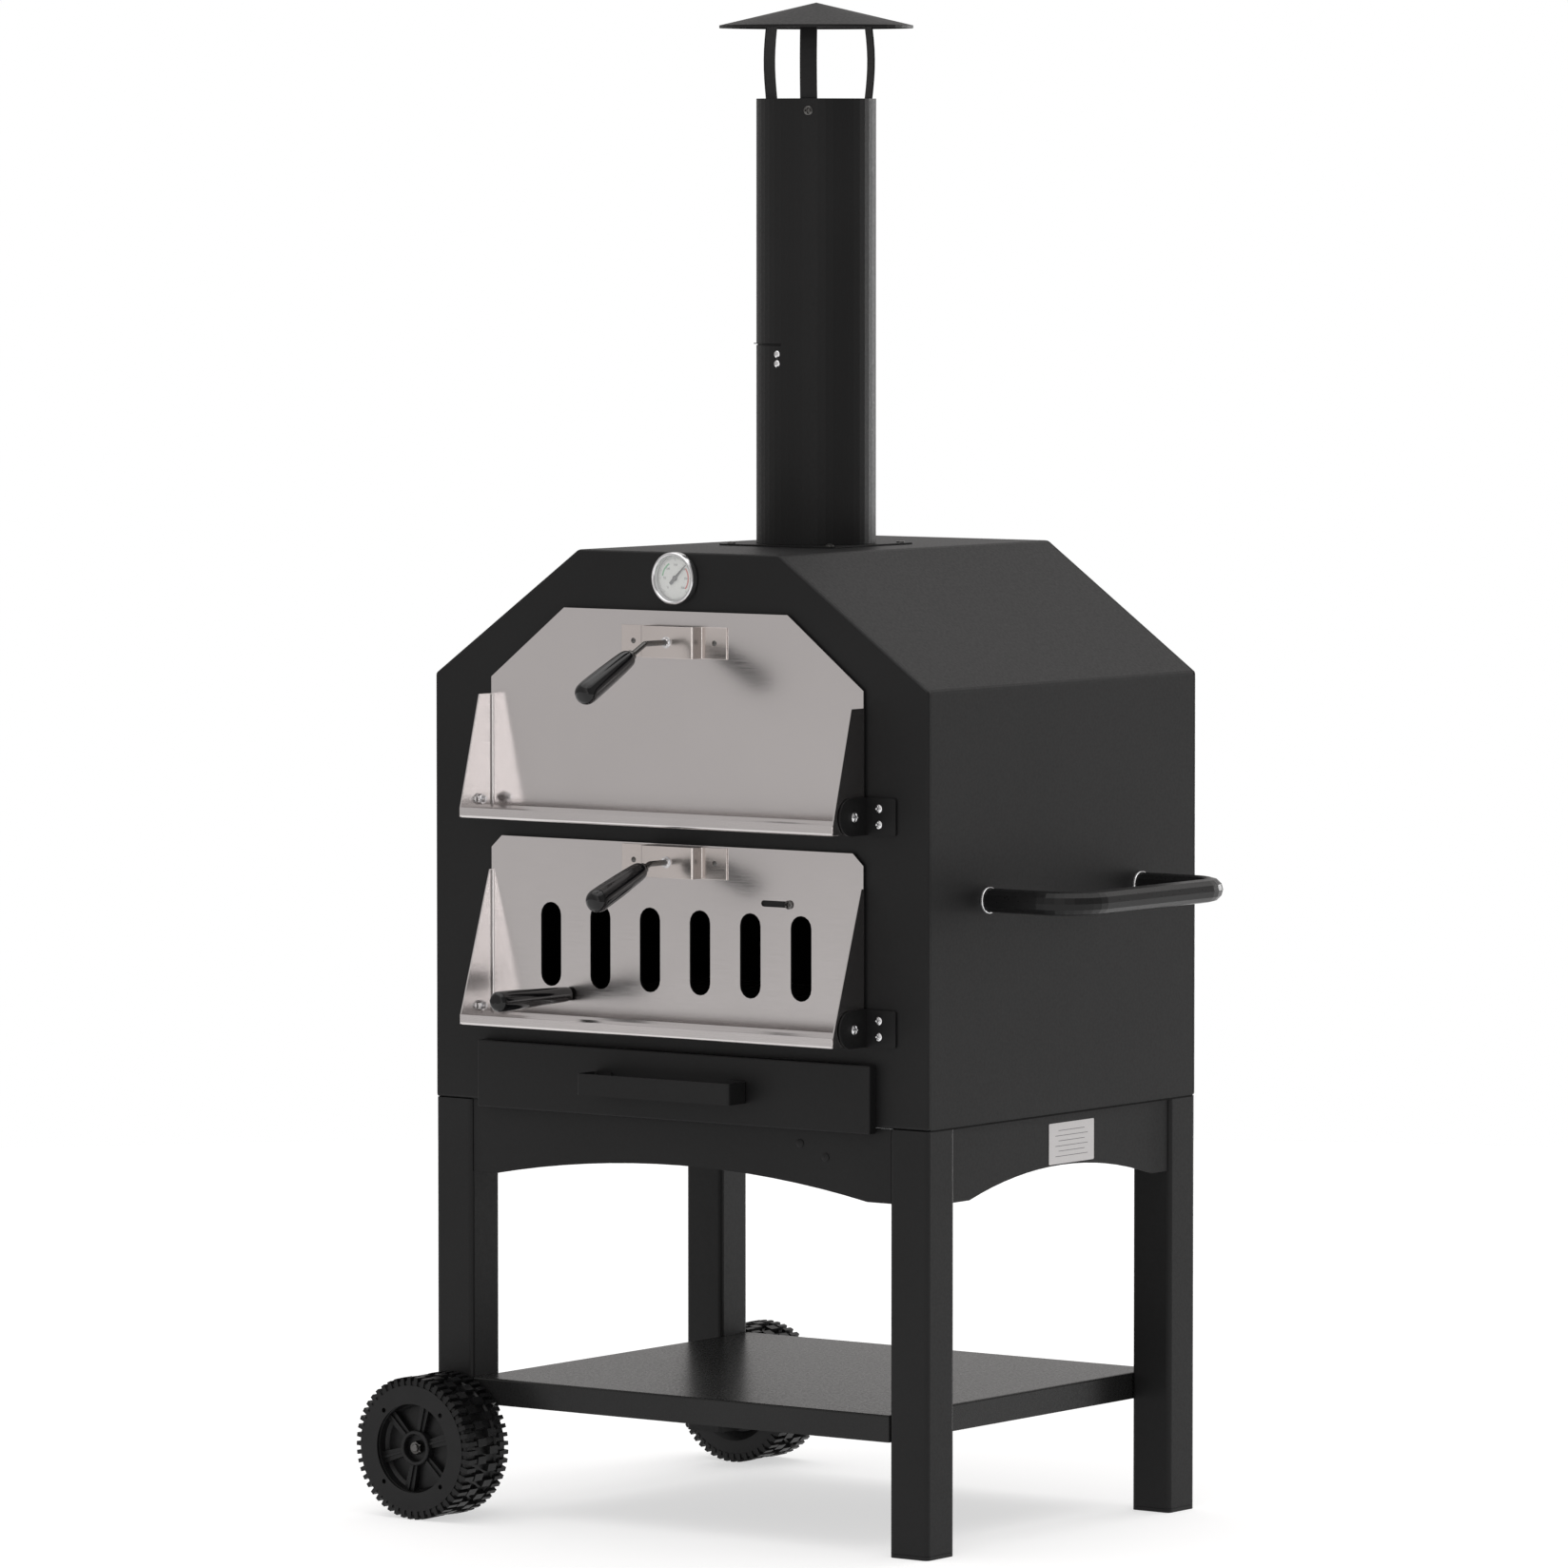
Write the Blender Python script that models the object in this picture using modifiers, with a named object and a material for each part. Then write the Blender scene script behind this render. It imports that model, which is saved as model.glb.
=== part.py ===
"""Wood fired pizza oven on a two-wheeled stand, as separate sheet metal and moulded pieces.

Metres, +Z up, the doors face -Y. Pieces are dimensioned from the middle of the oven body
in X and Y and from the floor in Z; the whole oven hangs on one empty that puts the middle
of its overall box at the origin. Each moving group hangs on an empty on its joint's axis.
"""
import math

import bmesh
import bpy
from mathutils import Matrix, Vector

# ---------------------------------------------------------------- driving dimensions
GAP = 0.0003                    # between pieces that touch
SHEET = 0.0015                  # sheet metal thickness

BODY_W = 0.640
BODY_D = 0.490
BODY_BOTTOM = 0.442             # height of the body's lower edge above the floor
SIDE_H = 0.450                  # vertical part of the body's side
ROOF_RISE = 0.135
SHOULDER_RUN = 0.190            # horizontal run of the sloping shoulder
PAN_DEPTH = 0.005               # return edge of the front and rear panels
FRONT = -BODY_D / 2
ROOF = BODY_BOTTOM + SIDE_H + ROOF_RISE

LEG = 0.048
LEG_WALL = 0.002
LEG_CORNER = 0.0046
APRON_END_H = 0.077
APRON_MID_H = 0.054
APRON_FLAT = 0.030
APRON_INSET = 0.0030            # from the legs' outer faces
APRON_SHEET = 0.0020
SHELF_TOP = 0.1465
SHELF_LIP = 0.028

WHEEL_R = 0.0757
WHEEL_W = 0.070
WHEEL_GAP = 0.003
AXLE_R = 0.0048

TUBE_R = 0.0632
TUBE_WALL = 0.0015
TUBE_H = 0.4705
CAP_R = 0.1023
CAP_RISE = 0.024
CAP_LIFT = 0.077                # cap rim above the chimney tube's top
DAMPER_Z = ROOF + 0.212

DOOR_HALF_W = 0.2415
DOOR_BACK = FRONT - 0.0025      # rear face of both door plates
DOOR_FACE = DOOR_BACK - SHEET
LEDGE_FRONT = FRONT - 0.0585
LIP_H = 0.011
DOOR_BEND = 0.01025             # bend from the door's plate to its ledge, at mid thickness
PIVOT_Y = FRONT - 0.0255
PIVOT_TO_LEDGE = 0.018          # pivot down to the underside of the door's ledge
UPPER_PIVOT_Z = BODY_BOTTOM + 0.3205
LOWER_PIVOT_Z = BODY_BOTTOM + 0.1025
WING_X = DOOR_HALF_W - 0.001    # inner face of the door's side wings

SLOT_COUNT = 6
SLOT_PITCH = 0.065
SLOT_W = 0.0265
SLOT_Z = (BODY_BOTTOM + 0.1255, BODY_BOTTOM + 0.2143)
VENT_TRAVEL = 0.031
VENT_STUD = (-0.139, BODY_BOTTOM + 0.1185)
VENT_GUIDE = (0.1475, BODY_BOTTOM + 0.2251)

UPPER_HANDLE_Z = BODY_BOTTOM + 0.492
LOWER_HANDLE_Z = BODY_BOTTOM + 0.2635
HAT_RISE = 0.013
ROD_R = 0.003

TRAY_FRONT_Z = (BODY_BOTTOM - 0.006, BODY_BOTTOM + 0.065)
TRAY_FRONT_HALF_W = 0.255
TRAY_PROUD = 0.012

SIDE_HANDLE_Z = BODY_BOTTOM + 0.231
SIDE_HANDLE_R = 0.0125
SIDE_HANDLE_HALF_SPAN = 0.139
SIDE_HANDLE_REACH = 0.110

GAUGE_Z = BODY_BOTTOM + 0.558
GAUGE_R = 0.0272

# The overall box runs from the wheels to the side handle and from the upper door's grip
# to the back wheel.
LEFT_REACH = -BODY_W / 2 + LEG / 2 - WHEEL_R
RIGHT_REACH = BODY_W / 2 + SIDE_HANDLE_REACH + SIDE_HANDLE_R
FRONT_REACH = FRONT - 0.1657
BACK_REACH = BODY_D / 2 + WHEEL_GAP + WHEEL_W + 0.0013
ORIGIN_SHIFT = (-(LEFT_REACH + RIGHT_REACH) / 2, -(FRONT_REACH + BACK_REACH) / 2, 0.0)

SIDES = {"left": -1, "right": 1}
ENDS = {"front": -1, "back": 1}


# ---------------------------------------------------------------- scene and materials
def clear_scene():
    for old in list(bpy.data.objects):
        bpy.data.objects.remove(old, do_unlink=True)


def new_collection(name):
    collection = bpy.data.collections.new(name)
    bpy.context.scene.collection.children.link(collection)
    return collection


def new_material(name, colour, roughness, metallic=0.0):
    material = bpy.data.materials.new(name)
    material.use_nodes = True
    shader = material.node_tree.nodes["Principled BSDF"]
    shader.inputs["Base Color"].default_value = (*colour, 1.0)
    shader.inputs["Roughness"].default_value = roughness
    shader.inputs["Metallic"].default_value = metallic
    return material


clear_scene()
OVEN = new_collection("wood_fired_pizza_oven")
CUTTERS = new_collection("cutters")

POWDER_BLACK = new_material("powder_black", (0.022, 0.022, 0.023), 0.55)
STAINLESS = new_material("stainless", (0.60, 0.58, 0.57), 0.32, 1.0)
ZINC = new_material("zinc", (0.62, 0.63, 0.64), 0.30, 1.0)
GRIP_BLACK = new_material("grip_black", (0.010, 0.010, 0.011), 0.18)
WHEEL_BLACK = new_material("wheel_black", (0.016, 0.016, 0.017), 0.45)
STONE = new_material("stone", (0.55, 0.45, 0.33), 0.85)
CAST_BLACK = new_material("cast_black", (0.030, 0.028, 0.026), 0.75)
DIAL_WHITE = new_material("dial_white", (0.72, 0.73, 0.71), 0.45)
NEEDLE_BLACK = new_material("needle_black", (0.02, 0.02, 0.02), 0.40)
LENS = new_material("lens", (0.85, 0.88, 0.88), 0.05)

PIVOTS = {}


def add_pivot(body, at, parent=None):
    """An empty on a body's joint axis, which the body's pieces are parented to."""
    empty = bpy.data.objects.new(body + "_pivot", None)
    empty.empty_display_size = 0.05
    OVEN.objects.link(empty)
    offset = Vector(at)
    if parent:
        empty.parent, parent_at = PIVOTS[parent]
        offset = offset - parent_at
    empty.location = offset
    PIVOTS[body] = (empty, Vector(at))


oven_empty = bpy.data.objects.new("oven_centre", None)
oven_empty.location = ORIGIN_SHIFT
OVEN.objects.link(oven_empty)
PIVOTS["oven"] = (oven_empty, Vector((0, 0, 0)))
add_pivot("upper_door", (0, PIVOT_Y, UPPER_PIVOT_Z), "oven")
add_pivot("lower_door", (0, PIVOT_Y, LOWER_PIVOT_Z), "oven")
add_pivot("vent", (VENT_STUD[0], DOOR_BACK, VENT_STUD[1]), "lower_door")
add_pivot("ash_tray", (0, FRONT, BODY_BOTTOM + 0.03), "oven")
add_pivot("damper", (0, 0, DAMPER_Z), "oven")
add_pivot("gauge_needle", (0, FRONT, GAUGE_Z), "oven")
AXLE_X = -BODY_W / 2 + LEG / 2
WHEEL_Y = {end: sign * (BODY_D / 2 + WHEEL_GAP + WHEEL_W / 2) for end, sign in ENDS.items()}
for end_name in ENDS:
    add_pivot("wheel_" + end_name, (AXLE_X, WHEEL_Y[end_name], WHEEL_R), "oven")


# ---------------------------------------------------------------- modelling tools
def place(name, mesh, material, body="oven", at=(0, 0, 0), rotation=(0, 0, 0), smooth=None):
    """A named piece at a place in the oven's own coordinates, parented to its body."""
    piece = bpy.data.objects.new(name, mesh)
    piece.parent, pivot_at = PIVOTS[body]
    piece.location = Vector(at) - pivot_at
    piece.rotation_euler = rotation
    mesh.materials.append(material)
    OVEN.objects.link(piece)
    if smooth:
        mesh.shade_smooth()
        mesh.set_sharp_from_angle(angle=math.radians(smooth))
    return piece


def place_cutter(name, mesh, at=(0, 0, 0), rotation=(0, 0, 0)):
    cutter = bpy.data.objects.new(name, mesh)
    cutter.parent = PIVOTS["oven"][0]
    cutter.location = at
    cutter.rotation_euler = rotation
    cutter.hide_render = True
    cutter.display_type = "WIRE"
    CUTTERS.objects.link(cutter)
    return cutter


def boolean(piece, other, operation="DIFFERENCE"):
    modifier = piece.modifiers.new(operation.lower(), "BOOLEAN")
    modifier.operation = operation
    modifier.object = other
    return piece


def bevel(piece, width, segments=2, angle=30):
    modifier = piece.modifiers.new("round", "BEVEL")
    modifier.width = width
    modifier.segments = segments
    modifier.limit_method = "ANGLE"
    modifier.angle_limit = math.radians(angle)
    return piece


def thicken(piece, thickness=SHEET):
    modifier = piece.modifiers.new("sheet", "SOLIDIFY")
    modifier.thickness = thickness
    modifier.offset = -1.0
    modifier.use_even_offset = True
    return piece


def mesh_from(bm, name):
    mesh = bpy.data.meshes.new(name)
    bm.to_mesh(mesh)
    bm.free()
    return mesh


def box_mesh(name, size):
    bm = bmesh.new()
    bmesh.ops.create_cube(bm, size=1.0)
    bmesh.ops.scale(bm, vec=size, verts=bm.verts)
    return mesh_from(bm, name)


def rod_mesh(name, radius, length, sides=24):
    """A cylinder along Z, centred."""
    bm = bmesh.new()
    bmesh.ops.create_cone(bm, cap_ends=True, segments=sides, radius1=radius,
                          radius2=radius, depth=length)
    return mesh_from(bm, name)


# An outline's own (u, v) becomes (Y, Z), (X, Z) or (X, Y), and its thickness the third axis.
OUTLINE_TURN = {
    "X": Matrix(((0, 0, 1, 0), (1, 0, 0, 0), (0, 1, 0, 0), (0, 0, 0, 1))),
    "Y": Matrix(((1, 0, 0, 0), (0, 0, -1, 0), (0, 1, 0, 0), (0, 0, 0, 1))),
    "Z": Matrix.Identity(4),
}


def outline_mesh(name, outlines, axis, low, high):
    """A flat outline, with any holes as further outlines, from low to high along axis."""
    curve = bpy.data.curves.new(name + "_outline", "CURVE")
    curve.dimensions = "2D"
    curve.fill_mode = "BOTH"
    curve.extrude = (high - low) / 2
    for points in outlines:
        spline = curve.splines.new("POLY")
        spline.points.add(len(points) - 1)
        for point, (u, v) in zip(spline.points, points):
            point.co = (u, v, 0, 1)
        spline.use_cyclic_u = True
    mesh = mesh_of_curve(name, curve)
    middle = (low + high) / 2
    shift = -middle if axis == "Y" else middle
    mesh.transform(OUTLINE_TURN[axis] @ Matrix.Translation((0, 0, shift)))
    return mesh


def mesh_of_curve(name, curve):
    """The welded mesh of a curve object, which is then removed."""
    drawn = bpy.data.objects.new(name + "_curve", curve)
    bpy.context.scene.collection.objects.link(drawn)
    evaluated = drawn.evaluated_get(bpy.context.evaluated_depsgraph_get())
    mesh = bpy.data.meshes.new_from_object(evaluated)
    mesh.name = name
    bm = bmesh.new()
    bm.from_mesh(mesh)
    bmesh.ops.remove_doubles(bm, verts=bm.verts, dist=0.000001)
    bm.to_mesh(mesh)
    bm.free()
    bpy.data.objects.remove(drawn)
    return mesh


def bar_mesh(name, path, radius, resolution=3):
    """A round bar along a path of points, with closed ends."""
    curve = bpy.data.curves.new(name + "_path", "CURVE")
    curve.dimensions = "3D"
    curve.bevel_depth = radius
    curve.bevel_resolution = resolution
    curve.use_fill_caps = True
    spline = curve.splines.new("POLY")
    spline.points.add(len(path) - 1)
    for point, place_at in zip(spline.points, path):
        point.co = (*place_at, 1)
    return mesh_of_curve(name, curve)


def turned(name, profile, steps, material, body="oven", at=(0, 0, 0), rotation=(0, 0, 0),
           closed=False):
    """A turned piece: (radius, height) points that run down the outer side, about Z."""
    bm = bmesh.new()
    corners = [bm.verts.new((radius, 0, height)) for radius, height in profile]
    for first, second in zip(corners, corners[1:]):
        bm.edges.new((first, second))
    if closed:
        bm.edges.new((corners[-1], corners[0]))
    piece = place(name, mesh_from(bm, name), material, body, at, rotation)
    screw = piece.modifiers.new("turn", "SCREW")
    screw.steps = steps
    screw.render_steps = steps
    screw.use_merge_vertices = True
    screw.merge_threshold = 0.00001
    return piece


def arc(centre, radius, start, end, steps):
    """Points on an arc, angles in degrees."""
    turn = [math.radians(start + (end - start) * i / steps) for i in range(steps + 1)]
    return [(centre[0] + radius * math.cos(a), centre[1] + radius * math.sin(a)) for a in turn]


def rounded_box(low, high, radius, steps=4):
    (u0, v0), (u1, v1) = low, high
    return (arc((u1 - radius, v1 - radius), radius, 0, 90, steps)
            + arc((u0 + radius, v1 - radius), radius, 90, 180, steps)
            + arc((u0 + radius, v0 + radius), radius, 180, 270, steps)
            + arc((u1 - radius, v0 + radius), radius, 270, 360, steps))


def filleted(points, radii, steps=5):
    """A path with its inner corners rounded to the given radii."""
    path = [Vector(points[0])]
    for before, corner, after, radius in zip(points, points[1:], points[2:], radii):
        corner = Vector(corner)
        towards = (Vector(before) - corner).normalized()
        away = (Vector(after) - corner).normalized()
        half = towards.angle(away) / 2
        centre = corner + (towards + away).normalized() * (radius / math.sin(half))
        start = corner + towards * (radius / math.tan(half)) - centre
        end = corner + away * (radius / math.tan(half)) - centre
        sweep = start.angle(end)
        for i in range(steps + 1):
            t = i / steps
            blend = (start * math.sin((1 - t) * sweep) + end * math.sin(t * sweep))
            path.append(centre + blend / math.sin(sweep))
    path.append(Vector(points[-1]))
    return path


def sheet_section(path, thickness=SHEET):
    """The closed outline of a bent sheet whose middle follows a flat path."""
    left, right = [], []
    for i, point in enumerate(path):
        before = (point - path[i - 1]).normalized() if i else None
        after = (path[i + 1] - point).normalized() if i + 1 < len(path) else before
        before = before or after
        along = (before + after).normalized()
        across = Vector((-along.y, along.x)) * (thickness / 2 / along.dot(after))
        left.append(tuple(point + across))
        right.append(tuple(point - across))
    return left + right[::-1]


def open_shell(name, outline, axis, low, high, drop):
    """The faces of an extruded outline without those that drop(normal) picks."""
    mesh = outline_mesh(name, [outline], axis, low, high)
    bm = bmesh.new()
    bm.from_mesh(mesh)
    bmesh.ops.dissolve_limit(bm, angle_limit=0.001, verts=bm.verts, edges=bm.edges)
    bm.normal_update()
    gone = [face for face in bm.faces if drop(face.normal)]
    bmesh.ops.delete(bm, geom=gone, context="FACES_ONLY")
    loose = [vert for vert in bm.verts if not vert.link_faces]
    bmesh.ops.delete(bm, geom=loose, context="VERTS")
    bm.to_mesh(mesh)
    bm.free()
    return mesh


def hole(piece, name, radius, at, length, axis):
    turn = {"X": (0, math.pi / 2, 0), "Y": (math.pi / 2, 0, 0), "Z": (0, 0, 0)}[axis]
    return boolean(piece, place_cutter(name, rod_mesh(name, radius, length), at, turn))


# ---------------------------------------------------------------- oven body
def body_outline(inset=0.0):
    """Front view of the body: a box with sloping shoulders."""
    half = BODY_W / 2 - inset
    shoulder = SHOULDER_RUN
    side_top = BODY_BOTTOM + SIDE_H
    return [(-half, BODY_BOTTOM), (half, BODY_BOTTOM), (half, side_top),
            (BODY_W / 2 - shoulder, ROOF - inset), (shoulder - BODY_W / 2, ROOF - inset),
            (-half, side_top)]


def door_opening(half_w, bottom, side_top, top_half_w, top):
    z = BODY_BOTTOM
    return [(-half_w, z + bottom), (half_w, z + bottom), (half_w, z + side_top),
            (top_half_w, z + top), (-top_half_w, z + top), (-half_w, z + side_top)]


def make_body():
    front = place("front_panel",
                  open_shell("front_panel", body_outline(), "Y", FRONT, FRONT + PAN_DEPTH,
                             lambda normal: normal.y > 0.9), POWDER_BLACK)
    thicken(bevel(front, 0.003, 3))
    openings = {
        "upper_doorway": door_opening(0.226, 0.3300, 0.4400, 0.137, 0.5100),
        "lower_doorway": door_opening(0.216, 0.1060, 0.2580, 0.208, 0.2660),
        "tray_slot": [(-0.2365, BODY_BOTTOM + 0.0040), (0.2365, BODY_BOTTOM + 0.0040),
                      (0.2365, BODY_BOTTOM + 0.0580), (-0.2365, BODY_BOTTOM + 0.0580)],
    }
    for name, outline in openings.items():
        cutter = outline_mesh(name, [outline], "Y", FRONT - 0.02, FRONT + 0.02)
        boolean(front, place_cutter(name, cutter))
    hole(front, "gauge_hole", 0.0060, (0, FRONT, GAUGE_Z), 0.04, "Y")

    rear = place("rear_panel",
                 open_shell("rear_panel", body_outline(), "Y", -FRONT - PAN_DEPTH, -FRONT,
                            lambda normal: normal.y < -0.9), POWDER_BLACK)
    thicken(bevel(rear, 0.003, 3))

    reach = BODY_D / 2 - PAN_DEPTH - GAP
    wrap = place("body_wrap",
                 open_shell("body_wrap", body_outline(), "Y", -reach, reach,
                            lambda normal: abs(normal.y) > 0.9 or normal.z < -0.9),
                 POWDER_BLACK)
    thicken(bevel(wrap, 0.003, 2))
    hole(wrap, "flue_hole", TUBE_R - 0.004, (0, 0, ROOF), 0.03, "Z")
    for end, sign in ENDS.items():
        hole(wrap, "side_handle_hole_" + end, 0.0035,
             (BODY_W / 2, sign * SIDE_HANDLE_HALF_SPAN, SIDE_HANDLE_Z), 0.03, "X")

    inside = BODY_W / 2 - SHEET - GAP
    floor_path = filleted([(-inside + SHEET / 2, BODY_BOTTOM + 0.0200),
                           (-inside + SHEET / 2, BODY_BOTTOM + 0.0026),
                           (inside - SHEET / 2, BODY_BOTTOM + 0.0026),
                           (inside - SHEET / 2, BODY_BOTTOM + 0.0200)], (0.002, 0.002), 2)
    place("body_floor", outline_mesh("body_floor", [sheet_section(floor_path)], "Y",
                                     -reach, reach), POWDER_BLACK)


def make_inside():
    wall = BODY_W / 2 - SHEET - GAP
    for level, height in (("rack", 0.3080), ("grate", 0.0900)):
        for side, sign in SIDES.items():
            z = BODY_BOTTOM + height
            path = [Vector((sign * (wall - SHEET / 2), z - 0.022)),
                    Vector((sign * (wall - SHEET / 2), z)),
                    Vector((sign * (wall - 0.022), z))]
            name = level + "_rail_" + side
            place(name, outline_mesh(name, [sheet_section(path)], "Y", -0.215, 0.215),
                  POWDER_BLACK)
    make_grid("cooking_rack", 0.312, 0.205, BODY_BOTTOM + 0.3091, 0.004, 0.026, ZINC)
    make_grid("charcoal_grate", 0.312, 0.205, BODY_BOTTOM + 0.0911, 0.006, 0.020, CAST_BLACK)
    stone = place("pizza_stone", box_mesh("pizza_stone", (0.400, 0.380, 0.012)), STONE,
                  at=(0, 0, BODY_BOTTOM + 0.3091 + 0.004 + 0.006 + GAP))
    bevel(stone, 0.002, 2)


def make_grid(name, half_w, half_d, bottom, bar, opening, material):
    """A flat grid of bars across the oven, with a rim of the same bar."""
    rim = bar * 1.5
    count = int((2 * half_w - 2 * rim + bar) / (opening + bar))
    width = (2 * half_w - 2 * rim + bar) / count - bar
    outlines = [rounded_box((-half_w, -half_d), (half_w, half_d), 0.004, 2)]
    for i in range(count):
        u = -half_w + rim + i * (width + bar)
        for v0, v1 in ((-half_d + rim, -bar / 2), (bar / 2, half_d - rim)):
            outlines.append([(u, v0), (u + width, v0), (u + width, v1), (u, v1)])
    place(name, outline_mesh(name, outlines, "Z", bottom, bottom + bar), material)


# ---------------------------------------------------------------- chimney
def make_chimney():
    flange_top = ROOF + GAP + SHEET
    ring = arc((0, 0), TUBE_R - 0.003, 360, 0, 32)[:-1]
    place("chimney_flange",
          outline_mesh("chimney_flange",
                       [rounded_box((-0.075, -0.075), (0.075, 0.075), 0.006, 3), ring],
                       "Z", ROOF + GAP, flange_top), POWDER_BLACK)
    top = ROOF + TUBE_H
    inner = TUBE_R - TUBE_WALL
    tube = turned("chimney_tube", [(TUBE_R, top), (TUBE_R, flange_top + GAP),
                                   (inner, flange_top + GAP), (inner, top)],
                  48, POWDER_BLACK, closed=True)
    slot = place_cutter("damper_slot", box_mesh("damper_slot", (0.10, 0.16, 0.0020)),
                        (-0.05, 0, DAMPER_Z))
    boolean(tube, slot)
    make_cap(top, inner)
    blade = (arc((0, 0), 0.0610, -90, 90, 16) + arc((0, 0), 0.0622, 90, 170, 8)
             + [(-0.0740, 0.0108), (-0.0740, -0.0108)] + arc((0, 0), 0.0622, 190, 270, 8))
    place("damper_plate", outline_mesh("damper_plate", [blade], "Z", -0.0005, 0.0005),
          POWDER_BLACK, "damper", (0, 0, DAMPER_Z))


def make_cap(tube_top, inner):
    rim = tube_top + CAP_LIFT
    turned("chimney_cap", [(0, rim + CAP_RISE), (CAP_R, rim), (CAP_R, rim - 0.003),
                           (CAP_R - SHEET, rim - 0.003), (CAP_R - SHEET, rim - SHEET),
                           (0, rim + CAP_RISE - SHEET)], 48, POWDER_BLACK)
    bow = 0.0034
    seat = inner - 0.0020           # the flat strap's middle, clear of the tube's round wall
    path = [Vector((seat, tube_top - 0.030)), Vector((seat, tube_top))]
    for i in range(1, 9):
        t = i / 8
        path.append(Vector((seat + bow * math.sin(math.pi * t) - 0.001 * t,
                            tube_top + 0.083 * t)))
    section = sheet_section(path)
    for name, angle in (("front", -61.5), ("right", 58.5), ("left", 178.5)):
        strap_name = "cap_strap_" + name
        strap = outline_mesh(strap_name, [section], "Y", -0.009, 0.009)
        place(strap_name, strap, POWDER_BLACK, rotation=(0, 0, math.radians(angle)))


# ---------------------------------------------------------------- thermometer
def make_gauge():
    face_on = (math.pi / 2, 0, 0)
    turned("gauge_case", [(0.0246, 0.0090), (0.0262, 0.0096), (GAUGE_R, 0.0086),
                          (GAUGE_R, 0.0010), (0.0264, 0.0003), (0.0050, 0.0003),
                          (0.0050, -0.0060), (0.0030, -0.0070), (0.0030, -0.0580),
                          (0, -0.0590), (0, 0.0020), (0.0246, 0.0020)],
           32, ZINC, at=(0, FRONT, GAUGE_Z), rotation=face_on, closed=True)
    turned("gauge_dial", [(0, 0.0028), (0.0242, 0.0028), (0.0242, 0.0023), (0, 0.0023)],
           32, DIAL_WHITE, at=(0, FRONT, GAUGE_Z), rotation=face_on)
    turned("gauge_lens", [(0, 0.0084), (0.0242, 0.0078), (0.0242, 0.0068), (0, 0.0070)],
           32, LENS, at=(0, FRONT, GAUGE_Z), rotation=face_on)
    needle = ([(-0.0016, -0.0085), (0.0016, -0.0085)] + arc((0, 0), 0.0028, -50, 60, 6)
              + [(0.0004, 0.0190), (-0.0004, 0.0190)] + arc((0, 0), 0.0028, 120, 230, 6))
    place("gauge_needle", outline_mesh("gauge_needle", [needle], "Y", -0.0044, -0.0038),
          NEEDLE_BLACK, "gauge_needle", (0, FRONT, GAUGE_Z), (0, math.radians(45), 0))


# ---------------------------------------------------------------- doors
def door_sheet(name, outline, top, pivot_z, body):
    """The door's plate, its bottom ledge and the ledge's upturned lip, as one bent sheet."""
    middle = SHEET / 2
    ledge_z = pivot_z - PIVOT_TO_LEDGE + middle
    path = filleted([(DOOR_BACK - middle, top + 0.01), (DOOR_BACK - middle, ledge_z),
                     (LEDGE_FRONT + middle, ledge_z),
                     (LEDGE_FRONT + middle, ledge_z + LIP_H - middle)],
                    (DOOR_BEND, 0.0020))
    sheet = outline_mesh(name, [sheet_section(path)], "X", -0.26, 0.26)
    door = place(name, sheet, STAINLESS, body)
    prism = outline_mesh(name + "_shape", [outline], "Y", FRONT - 0.08, FRONT + 0.03)
    return boolean(door, place_cutter(name + "_shape", prism), "INTERSECT")


def add_wings(door, name, wing_top, top_depth, pivot_z):
    """Side wings folded forward, which carry the pivot bolts."""
    back = DOOR_BACK - SHEET / 2
    low = pivot_z - PIVOT_TO_LEDGE + SHEET / 2
    heel = arc((back - DOOR_BEND, low + DOOR_BEND), DOOR_BEND, 0, -90, 5)
    outline = heel + [(LEDGE_FRONT + 0.0006, low), (LEDGE_FRONT + 0.0006, low + 0.009),
                      (back - top_depth, wing_top), (back, wing_top)]
    for side, sign in SIDES.items():
        ends = sorted((sign * WING_X, sign * (WING_X + SHEET)))
        wing_name = name + "_wing_" + side
        wing = place_cutter(wing_name, outline_mesh(wing_name, [outline], "X", *ends))
        boolean(door, wing, "UNION")
    hole(door, name + "_pivot_holes", 0.0034, (0, PIVOT_Y, pivot_z), 0.6, "X")


def door_outline(half_w, side_top, top_half_w, top, bottom):
    corner = 0.004
    return (arc((half_w - corner, bottom + corner), corner, 270, 360, 3)
            + [(half_w, side_top), (top_half_w, top), (-top_half_w, top),
               (-half_w, side_top)]
            + arc((corner - half_w, bottom + corner), corner, 180, 270, 3))


def slot_outline(u, low, high, radius):
    return (arc((u, high - radius), radius, 0, 180, 8)
            + arc((u, low + radius), radius, 180, 360, 8))


def flat_slot_outline(u0, u1, v, radius):
    return (arc((u1 - radius, v), radius, -90, 90, 6)
            + arc((u0 + radius, v), radius, 90, 270, 6))


def slot_centres():
    return [(i - (SLOT_COUNT - 1) / 2) * SLOT_PITCH for i in range(SLOT_COUNT)]


def make_upper_door():
    z = BODY_BOTTOM
    top = z + 0.5238
    outline = door_outline(DOOR_HALF_W, z + 0.4486, 0.1450, top,
                           UPPER_PIVOT_Z - PIVOT_TO_LEDGE - 0.0002)
    door = door_sheet("upper_door_panel", outline, top, UPPER_PIVOT_Z, "upper_door")
    add_wings(door, "upper_door", z + 0.4310, 0.0220, UPPER_PIVOT_Z)
    make_handle("upper_handle", "upper_door", UPPER_HANDLE_Z, FRONT - 0.055, 25, 0.120)


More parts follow.
